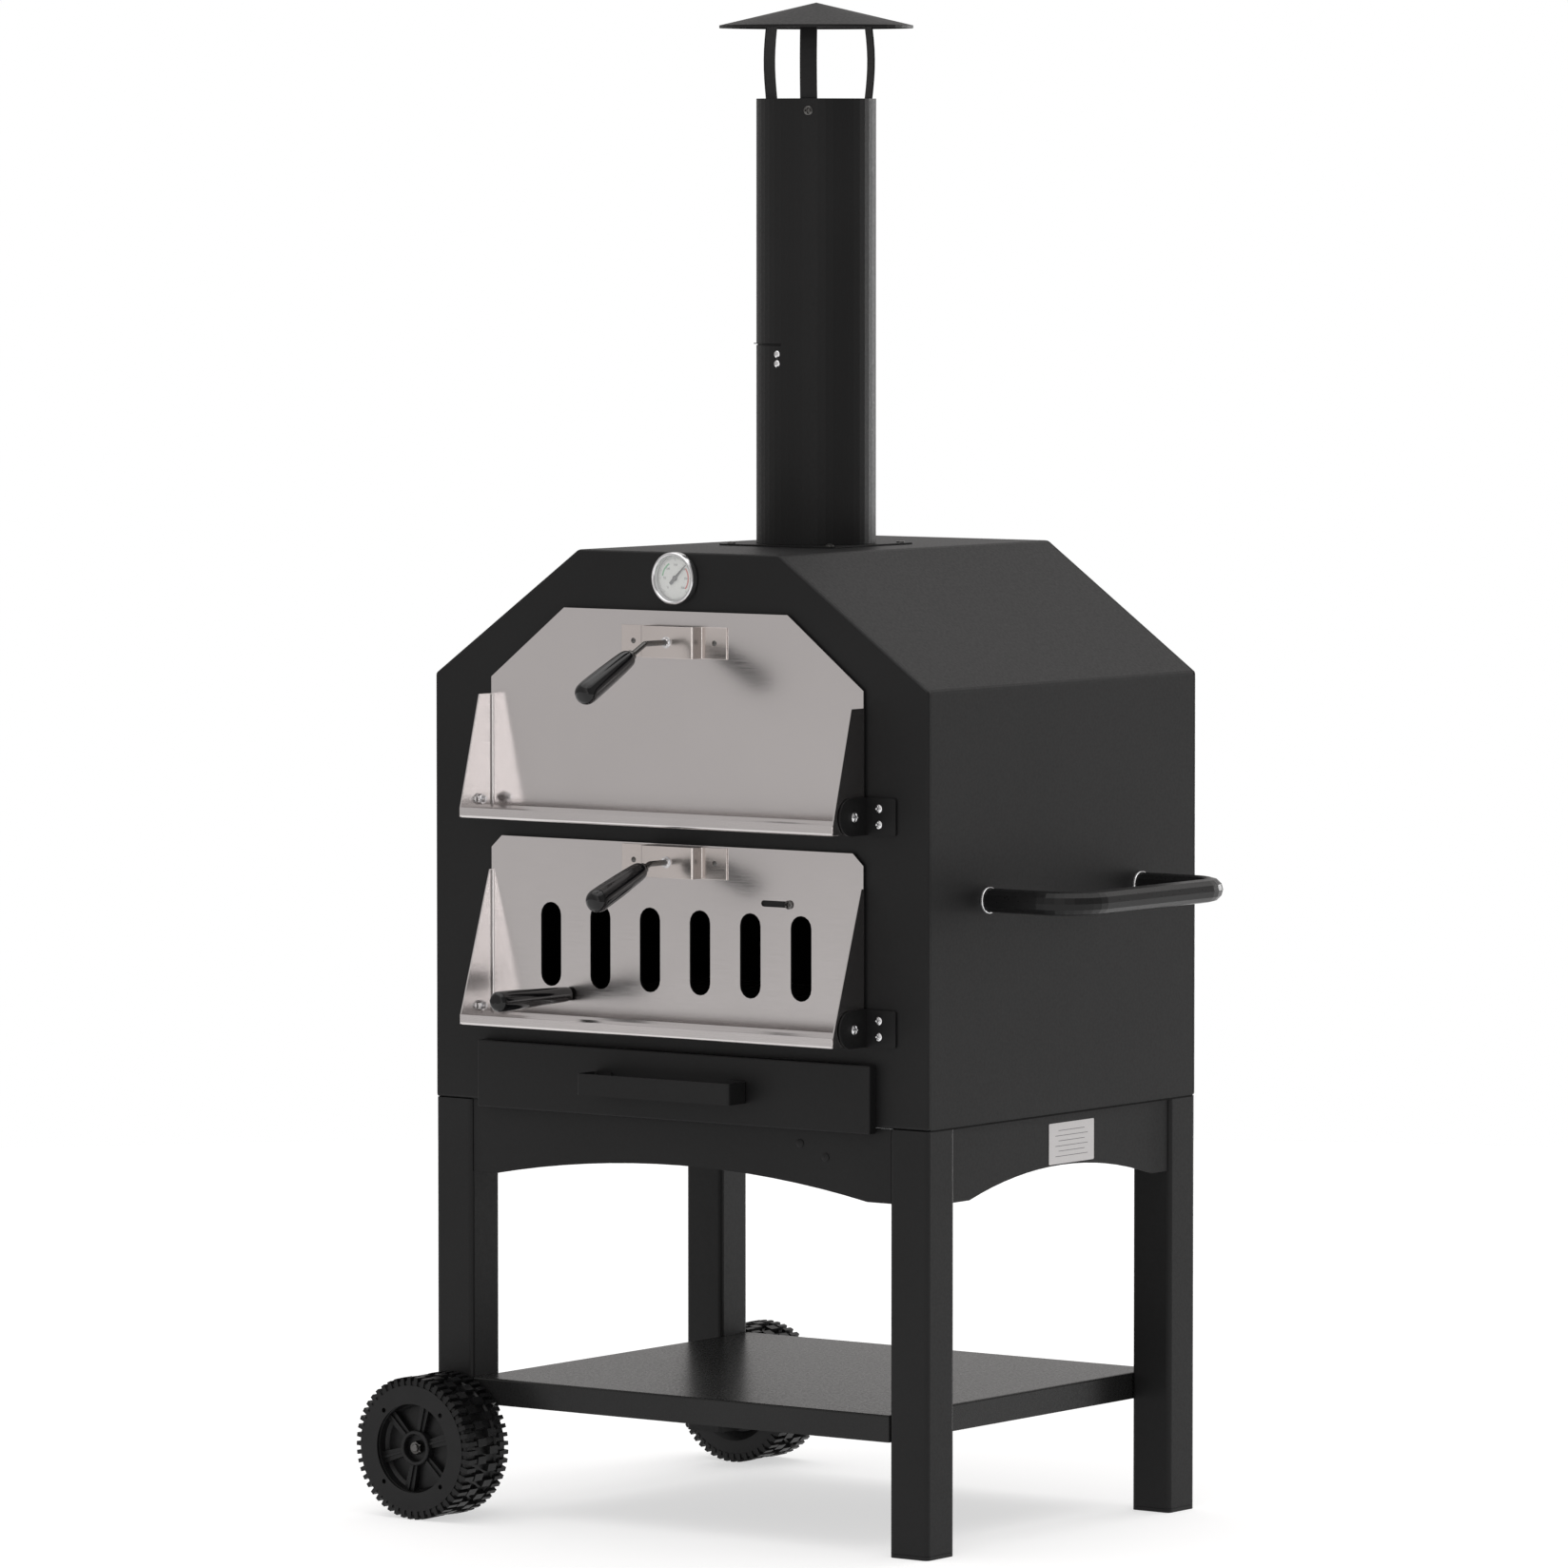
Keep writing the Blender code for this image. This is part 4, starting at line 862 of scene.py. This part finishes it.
class OVEN_OT_fit_doors(Operator):
    """Fits the rivets, rod nuts, hinge screws and pivot fasteners of both doors"""
    bl_idname = "oven.fit_doors"
    bl_label = "Fit the doors"
    bl_options = {"REGISTER", "UNDO"}

    def execute(self, context):
        sizes = context.scene.oven_sizes
        for level in ("upper", "lower"):
            body = level + "_door"
            self.fit_bracket(level, body, sizes.rivet_radius)
            self.fit_hinge_screws(level, sizes.screw_radius)
            self.fit_pivots(level, body)
            self.fit_wing_bends(level, body)
        return {"FINISHED"}

    def fit_wing_bends(self, level, body):
        """The rounded inner corner between the door's plate and each folded wing."""
        low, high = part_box(level + "_door_panel")
        face, bend = high.y - SHEET, 0.0028
        bm = bmesh.new()
        for sign in (-1, 1):
            edge = (high.x if sign > 0 else low.x) - sign * SHEET
            outline = [(edge + sign * 0.0002, face + 0.0002),
                       (edge - sign * bend, face + 0.0002)]
            for i in range(9):
                turn = math.radians(90 * i / 8)
                outline.append((edge - sign * bend * (1 - math.sin(turn)),
                                face - bend * (1 - math.cos(turn))))
            outline.append((edge + sign * 0.0002, face - bend))
            add_plate(bm, outline, low.z + 0.0090, BODY_LOW + WING_TOP[level])
        set_piece(level + "_wing_bends", bm, "door_steel", body, "stainless", smooth=50)

    def fit_bracket(self, level, body, radius):
        """The bent bracket plate, its two rivets and the rod's nut."""
        low, high, mid = middle_box(level + "_handle_bracket")
        foot, crest = high.y - SHEET / 2, low.y + SHEET / 2
        path = rounded_path([(low.x, foot), (mid.x - 0.0356, foot), (mid.x - 0.0330, crest),
                             (mid.x + 0.0330, crest), (mid.x + 0.0356, foot),
                             (high.x, foot)], 0.0022, 7)
        plate = bmesh.new()
        add_plate(plate, sheet_outline(path, SHEET), low.z, high.z)
        piece = set_piece(level + "_bracket_plate", plate, "bracket_steel", body, "stainless",
                          smooth=40, replaces=(level + "_handle_bracket",))
        ease_edges(piece, 0.0003)
        bm = bmesh.new()
        dome = [(0, 0.0014), (radius * 0.5, 0.0012), (radius * 0.85, 0.0007),
                (radius, 0.0001), (radius, 0), (0, 0)]
        for side in (-1, 1):
            place = (mid.x + side * 0.0525, high.y - 0.0014, mid.z)
            turn_profile(bm, dome, 28, facing((0, -1, 0), place))
        set_piece(level + "_bracket_rivets", bm, "dark_zinc", body, "zinc")
        nut = bmesh.new()
        place = (mid.x, low.y - 0.0001, mid.z)
        add_hex(nut, 0.0088, 0.0042, facing((0, -1, 0), place), washer=0.0062)
        set_piece(level + "_rod_nut", nut, "zinc_plate", body, "zinc")

    def fit_hinge_screws(self, level, radius):
        bm = bmesh.new()
        for side, sign in (("left", -1), ("right", 1)):
            low, high, mid = middle_box("hinge_%s_%s" % (level, side))
            x = (high.x if sign > 0 else low.x) - sign * 0.0206
            for rise in (-0.0082, 0.0082):
                place = (x, high.y - 0.0022, mid.z + rise)
                add_screw(bm, radius, 0.0024, facing((0, -1, 0), place))
        set_piece(level + "_hinge_screws", bm, "zinc_plate", "oven", "zinc")

    def fit_pivots(self, level, body):
        """The screw and the nut that each wing turns on."""
        for side, sign in (("left", -1), ("right", 1)):
            node = "%s_pivot_bolt_%s" % (level, side)
            low, high, mid = middle_box(node)
            outer = high.x if sign > 0 else low.x
            inner = low.x if sign > 0 else high.x
            head_x = outer - sign * 0.0034
            bm = bmesh.new()
            where = facing((sign, 0, 0), (head_x, mid.y, mid.z))
            add_screw(bm, 0.0056, 0.0034, where)
            length = abs(head_x - (inner + sign * 0.0006))
            shank = [(0, 0.0002), (0.0030, 0.0002), (0.0030, -length),
                     (0.0022, -length - 0.0006), (0, -length - 0.0006)]
            turn_profile(bm, shank, 28, where)
            nut_x = inner + sign * 0.0084
            add_hex(bm, 0.0100, 0.0046, facing((-sign, 0, 0), (nut_x, mid.y, mid.z)))
            set_piece("%s_pivot_screw_%s" % (level, side), bm, "zinc_plate", body, "zinc",
                      replaces=(node,))


# ---------------------------------------------------------------- grips
GRIP_LENGTH = 0.0900
# droop of the rod's end in degrees, from its bend to the tip, from the panel to the bend
GRIP_ROD = {"upper": (25, 0.1200, 0.0550), "lower": (20, 0.1055, 0.0470)}


class OVEN_OT_fit_grips(Operator):
    """Moulds the tapered grips of both doors and of the air vent"""
    bl_idname = "oven.fit_grips"
    bl_label = "Fit the grips"
    bl_options = {"REGISTER", "UNDO"}

    def execute(self, context):
        for level in GRIP_ROD:
            self.door_grip(level)
        self.vent_grip()
        return {"FINISHED"}

    def smooth_profile(self, points, steps=6):
        """Rounds the profile with a curve through its points."""
        curve = []
        count = len(points)
        for i in range(count - 1):
            p0 = Vector(points[max(i - 1, 0)])
            p1, p2 = Vector(points[i]), Vector(points[i + 1])
            p3 = Vector(points[min(i + 2, count - 1)])
            for k in range(steps):
                t = k / steps
                point = 0.5 * (2 * p1 + (p2 - p0) * t
                               + (2 * p0 - 5 * p1 + 4 * p2 - p3) * t ** 2
                               + (3 * p1 - p0 - 3 * p2 + p3) * t ** 3)
                curve.append((max(point.x, 0), point.y))
        curve.append(points[-1])
        return curve

    def door_grip(self, level):
        """A tapered grip along the drooping end of a door's rod, with a metal collar."""
        droop, reach, bend = GRIP_ROD[level]
        slope = math.radians(droop)
        mid = middle_box(level + "_handle_bracket")[2]
        length = GRIP_LENGTH
        direction = Vector((0, -math.cos(slope), -math.sin(slope)))
        corner = Vector((mid.x, PANEL[0].y - bend, mid.z))
        root = corner + direction * (reach - length)
        outer = [(0.0001, length), (0.0056, length - 0.0005), (0.0098, length - 0.0031),
                 (0.0120, length - 0.0085), (0.0123, length - 0.0190),
                 (0.0117, length * 0.52), (0.0105, length * 0.2), (0.0096, 0.0060),
                 (0.0084, 0.0016), (0.0066, 0.0002)]
        profile = [(0, length)] + self.smooth_profile(outer)[1:]
        profile += [(0.0033, 0), (0.0033, 0.0200), (0, 0.0202)]
        turned(level + "_grip", profile, 56, "grip_gloss", level + "_door", "grip_black",
               where=facing(direction, root), replaces=(level + "_handle_grip",))
        collar = [(0.0033, 0.0050), (0.0052, 0.0050), (0.0057, 0.0042), (0.0057, 0.0008),
                  (0.0052, 0), (0.0033, 0)]
        place = root - direction * 0.0053
        turned(level + "_grip_collar", collar, 40, "dark_zinc", level + "_door", "zinc",
               where=facing(direction, place))

    def vent_grip(self):
        """The air vent's knob and the screw that guides its slider."""
        low, high, mid = middle_box("vent_grip")
        length = high.y - low.y
        outer = [(0.0001, length), (0.0064, length - 0.0007), (0.0096, length - 0.0036),
                 (0.0107, length - 0.0090), (0.0105, length * 0.7), (0.0088, length * 0.35),
                 (0.0078, 0.0086), (0.0068, 0.0060)]
        profile = [(0, length)] + self.smooth_profile(outer)[1:]
        profile += [(0.0028, 0.0056), (0.0028, 0.0001), (0, 0)]
        turned("vent_knob", profile, 56, "grip_gloss", "vent", "grip_black",
               where=facing((0, -1, 0), (mid.x, high.y, mid.z)), replaces=("vent_grip",))
        low, high, mid = middle_box("vent_guide_bolt")
        bm = bmesh.new()
        where = facing((0, -1, 0), (mid.x, high.y, mid.z))
        shank = [(0, 0.0024), (0.0027, 0.0024), (0.0027, 0), (0, 0)]
        turn_profile(bm, shank, 28, where)
        add_screw(bm, 0.0046, 0.0033, where @ Matrix.Translation((0, 0, 0.0020)))
        set_piece("vent_guide_screw", bm, "dark_zinc", "vent", "cast_black",
                  replaces=("vent_guide_bolt",))


# ---------------------------------------------------------------- body fittings
# Y from the middle of the body and Z from its foot
LABEL_LOW, LABEL_HIGH = (-0.0234, -0.0530), (0.0589, -0.0100)
LABEL_CORNER = 0.0015


class OVEN_OT_fit_body(Operator):
    """Fits the side handle's rings, the apron screws, the blank label and a painted shadow
    strip along the body's foot
    """
    bl_idname = "oven.fit_body"
    bl_label = "Fit the body"
    bl_options = {"REGISTER", "UNDO"}

    def execute(self, context):
        self.fit_rings(context.scene.oven_sizes.ferrule_width)
        self.fit_apron_screws()
        self.fit_label()
        self.paint_seam_shadow()
        return {"FINISHED"}

    def fit_rings(self, width):
        """A bright ring round each foot of the side handle."""
        low, high, mid = middle_box("side_handle")
        radius = (high.z - low.z) / 2
        bm = bmesh.new()
        ring = [(radius + 0.0003, 0.0030), (radius + width * 0.7, 0.0029),
                (radius + width, 0.0022), (radius + width, 0), (radius + 0.0003, 0)]
        for y in (low.y + radius, high.y - radius):
            turn_profile(bm, ring, 64, facing((1, 0, 0), (low.x + 0.0001, y, mid.z)))
        set_piece("side_handle_rings", bm, "zinc_plate", "oven", "zinc")

    def paint_seam_shadow(self):
        """A near-black strip along the joint between the body and the stand, on both sides:
        painted shade standing in for the shadow in the gap.
        """
        low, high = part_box("body_wrap")
        bm = bmesh.new()
        for edge, sign in ((low.x, -1), (high.x, 1)):
            inside, outside = sorted((edge - sign * 0.0010, edge + sign * 0.0002))
            add_block(bm, (inside, low.y + 0.0010, BODY_LOW - 0.0012),
                      (outside, high.y - 0.0010, BODY_LOW + 0.0006))
        # the strip is painted shade, a dark sheet where there is only the shadow of the gap
        set_piece("body_seam_shadows", bm, "painted_seam_shade", "oven", "powder_black")

    def fit_apron_screws(self):
        bm = bmesh.new()
        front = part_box("apron_front")
        for x, drop in ((0.1561, 0.0217), (0.1886, 0.0345)):
            place = at(x, 0, BODY_LOW - drop)
            place.y = front[0].y
            add_screw(bm, 0.0045, 0.0016, facing((0, -1, 0), place), cross=False)
        set_piece("apron_screws", bm, "powder_black", "oven", "powder_black")

    def fit_label(self):
        """A plain label with ruled lines in place of any writing."""
        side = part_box("apron_right")[1].x
        low = at(0, LABEL_LOW[0], BODY_LOW + LABEL_LOW[1])
        high = at(0, LABEL_HIGH[0], BODY_LOW + LABEL_HIGH[1])
        centre = Vector((side, (low.y + high.y) / 2, (low.z + high.z) / 2))
        half_y, half_z = (high.y - low.y) / 2, (high.z - low.z) / 2
        face = facing((1, 0, 0), centre)
        outline = []
        for cx, cy, start in ((1, 1, 0), (-1, 1, 90), (-1, -1, 180), (1, -1, 270)):
            corner = (cx * (half_y - LABEL_CORNER), cy * (half_z - LABEL_CORNER))
            outline += arc_points(LABEL_CORNER, start, start + 90, 4, corner)
        bm = bmesh.new()
        add_plate(bm, outline, 0.00004, 0.00020, face)
        set_piece("blank_label", bm, "label_film", "oven", "dial_white")
        lines = bmesh.new()
        for i in range(6):
            v = half_z * 0.62 - i * half_z * 0.25
            reach = half_y * (0.72 if i % 2 else 0.58)
            add_block(lines, (-reach, v - 0.00035, 0.00020),
                      (reach, v + 0.00035, 0.00024), face)
        set_piece("label_rules", lines, "label_ink", "oven", "dial_white")


# ---------------------------------------------------------------- cooking rack
RACK_CORNER = 0.012
RACK_GAPS = 44


class OVEN_OT_fit_rack(Operator):
    """Builds the cooking rack from round welded wires"""
    bl_idname = "oven.fit_rack"
    bl_label = "Fit the rack"
    bl_options = {"REGISTER", "UNDO"}

    def execute(self, context):
        low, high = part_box("cooking_rack")
        wire = min(context.scene.oven_sizes.rack_wire, high.z - low.z) / 2
        bm = bmesh.new()
        rim = []
        for cx, cy, start in ((high.x, high.y, 0), (low.x, high.y, 90), (low.x, low.y, 180),
                              (high.x, low.y, 270)):
            sx, sy = (1 if cx == high.x else -1), (1 if cy == high.y else -1)
            middle = (cx - sx * (RACK_CORNER + wire), cy - sy * (RACK_CORNER + wire))
            for x, y in arc_points(RACK_CORNER, start, start + 90, 6, middle):
                rim.append((x, y, low.z + wire))
        add_bar(bm, rim, wire, 16, closed=True)
        thin = wire * 0.75
        for i in range(1, RACK_GAPS):
            x = low.x + wire + (high.x - low.x - 2 * wire) * i / RACK_GAPS
            add_bar(bm, [(x, low.y + wire, high.z - thin), (x, high.y - wire, high.z - thin)],
                    thin, 10)
        for y in (low.y * 0.6 + high.y * 0.4, low.y * 0.4 + high.y * 0.6):
            add_bar(bm, [(low.x + wire, y, low.z + wire * 0.9),
                         (high.x - wire, y, low.z + wire * 0.9)], wire * 0.85, 12)
        set_piece("rack_wires", bm, "zinc_plate", "oven", "zinc", smooth=50,
                  replaces=("cooking_rack",))
        return {"FINISHED"}


# ---------------------------------------------------------------- wheels
FACE_HOLES = (45, 135, 225, 315)
FACE_HOLE_CIRCLE = 0.0535


class OVEN_OT_mould_wheels(Operator):
    """Moulds both wheels with toothed treads, dished hubs, ribs and their bolts"""
    bl_idname = "oven.mould_wheels"
    bl_label = "Mould the wheels"
    bl_options = {"REGISTER", "UNDO"}

    def execute(self, context):
        sizes = context.scene.oven_sizes
        for end, sign in (("front", -1), ("back", 1)):
            low, high, mid = middle_box("wheel_" + end)
            self.radius = (high.z - low.z) / 2
            self.half = (high.y - low.y) / 2
            self.where = facing((0, sign, 0), mid)
            self.mould(end, sizes)
            self.fit_bolt(end)
        return {"FINISHED"}

    def mould(self, end, sizes):
        """The turned tyre and hub, the two rows of tread blocks and the ribs."""
        r, half = self.radius, self.half
        base = r - 0.0040
        tyre = bmesh.new()
        turn_profile(tyre, [
            (0.0490, half - 0.0042), (0.0500, half - 0.0042), (0.0664, half - 0.0042),
            (0.0672, half - 0.0018), (base - 0.0008, half - 0.0022),
            (base, half - 0.0034), (base, half - 0.0165), (base - 0.0020, half - 0.0185),
            (base - 0.0020, 0.0185 - half), (base, 0.0165 - half), (base, 0.0034 - half),
            (base - 0.0008, 0.0022 - half), (0.0660, 0.0012 - half),
            (0.0520, 0.0020 - half), (0.0470, 0.0080 - half), (0.0430, 0.0160 - half),
            (0.0175, 0.0140 - half), (0.0165, 0.0002 - half), (0.0053, 0.0002 - half),
            (0.0053, half - 0.0120), (0.0140, half - 0.0120), (0.0146, half - 0.0050),
            (0.0152, half - 0.0042), (0.0178, half - 0.0042), (0.0186, half - 0.0052),
            (0.0192, half - 0.0150), (0.0430, half - 0.0162), (0.0462, half - 0.0130),
            (0.0474, half - 0.0050)], 120, self.where)
        teeth = sizes.tooth_count
        step = math.tau / teeth
        for side in (-1, 1):
            for i in range(teeth):
                turn = Matrix.Rotation(i * step + (0 if side > 0 else step / 2), 4, "Z")
                stand = self.where @ turn @ Matrix.Rotation(math.pi / 2, 4, "Y")
                z0, z1 = side * (half - 0.0165), side * (half - 0.0004)
                low, high = min(-z0, -z1), max(-z0, -z1)
                add_block(tyre, (low, -base * step * 0.27, base - 0.0050),
                          (high, base * step * 0.27, r - 0.0001), stand, 0.90)
        for row, shift in ((-0.0095, 0.5), (0.0095, 0.0)):
            for i in range(teeth // 2):
                turn = Matrix.Rotation((i + shift) * step * 2, 4, "Z")
                stand = self.where @ turn @ Matrix.Rotation(math.pi / 2, 4, "Y")
                add_block(tyre, (row - 0.0078, -base * step * 0.52, base - 0.0050),
                          (row + 0.0078, base * step * 0.52, r - 0.0006), stand, 0.88)
        ribs = sizes.rib_count
        for i in range(ribs):
            turn = self.where @ Matrix.Rotation(math.tau * (i + 0.28) / ribs, 4, "Z")
            add_plate(tyre, [(0.0175, -0.0046), (0.0470, -0.0062), (0.0470, 0.0062),
                             (0.0175, 0.0046)], half - 0.0170, half - 0.0088, turn)
            add_plate(tyre, [(0.0190, -0.0010), (0.0466, -0.0010), (0.0466, 0.0010),
                             (0.0190, 0.0010)], half - 0.0100, half - 0.0068, turn)
        set_piece("wheel_%s_tyre" % end, tyre, "wheel_black", "wheel_" + end, "wheel_black",
                  smooth=28, replaces=("wheel_" + end,))
        self.fit_face(end)

    def fit_face(self, end):
        """The flat face ring with its four small holes."""
        curve = bpy.data.curves.new("face_ring", "CURVE")
        curve.dimensions = "2D"
        curve.fill_mode = "BOTH"
        curve.extrude = 0.0009
        circles = [((0, 0), 0.0668, 96), ((0, 0), 0.0472, 80)]
        circles += [(outward(degrees).xy * FACE_HOLE_CIRCLE, 0.0026, 20)
                    for degrees in FACE_HOLES]
        for (x, y), radius, steps in circles:
            spline = curve.splines.new("POLY")
            spline.points.add(steps - 1)
            for i, point in enumerate(spline.points):
                angle = math.tau * i / steps
                point.co = (x + radius * math.cos(angle), y + radius * math.sin(angle), 0, 1)
            spline.use_cyclic_u = True
        mesh = curve_mesh(curve)
        bm = bmesh.new()
        bm.from_mesh(mesh)
        bmesh.ops.remove_doubles(bm, verts=bm.verts, dist=0.000001)
        bpy.data.meshes.remove(mesh)
        place = self.where @ Matrix.Translation((0, 0, self.half - 0.0010))
        set_piece("wheel_%s_face" % end, bm, "wheel_black", "wheel_" + end, "wheel_black",
                  where=place, smooth=30)

    def fit_bolt(self, end):
        """The axle bolt with its nut in the hub's dish."""
        low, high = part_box("wheel_bolt_" + end)
        outside = self.half - 0.0117
        inner = self.half - 0.0040 + 0.0053 - (high.y - low.y)
        bm = bmesh.new()
        add_hex(bm, 0.0130, 0.0062, self.where @ Matrix.Translation((0, 0, outside)),
                bore=0.0040)
        shank = [(0, outside + 0.0004), (0.0047, outside + 0.0004), (0.0047, inner + 0.0008),
                 (0.0038, inner), (0, inner)]
        turn_profile(bm, shank, 28, self.where)
        set_piece("wheel_axle_" + end, bm, "dark_zinc", "oven", "zinc",
                  replaces=("wheel_bolt_" + end,))


# ---------------------------------------------------------------- panel and registration
STEPS = ("mix_finishes", "coat_frame", "build_stage", "fit_chimney", "fit_thermometer",
         "fit_doors", "fit_grips", "fit_body", "fit_rack", "mould_wheels")


class OVEN_PT_looks(Panel):
    """Lists the oven's settings and building steps"""
    bl_idname = "OVEN_PT_looks"
    bl_label = "Pizza oven"
    bl_space_type = "VIEW_3D"
    bl_region_type = "UI"
    bl_category = "Pizza oven"

    def draw(self, context):
        layout = self.layout
        scene = context.scene
        for title, group in (("Finishes", scene.oven_finishes), ("Sizes", scene.oven_sizes),
                             ("Studio", scene.oven_studio)):
            box = layout.box()
            box.label(text=title)
            for name in group.__annotations__:
                box.prop(group, name)
        for step in STEPS:
            layout.operator("oven." + step)


CLASSES = (OvenFinishes, OvenSizes, OvenStudio, OVEN_OT_mix_finishes, OVEN_OT_coat_frame,
           OVEN_OT_build_stage, OVEN_OT_fit_chimney, OVEN_OT_fit_thermometer,
           OVEN_OT_fit_doors, OVEN_OT_fit_grips, OVEN_OT_fit_body, OVEN_OT_fit_rack,
           OVEN_OT_mould_wheels, OVEN_PT_looks)
GROUPS = {"oven_finishes": OvenFinishes, "oven_sizes": OvenSizes, "oven_studio": OvenStudio}


def register():
    for cls in CLASSES:
        bpy.utils.register_class(cls)
    for name, group in GROUPS.items():
        setattr(bpy.types.Scene, name, PointerProperty(type=group))


def unregister():
    for name in GROUPS:
        delattr(bpy.types.Scene, name)
    for cls in reversed(CLASSES):
        bpy.utils.unregister_class(cls)


def main():
    register()
    for step in STEPS:
        getattr(bpy.ops.oven, step)()


if __name__ == "__main__":
    main()
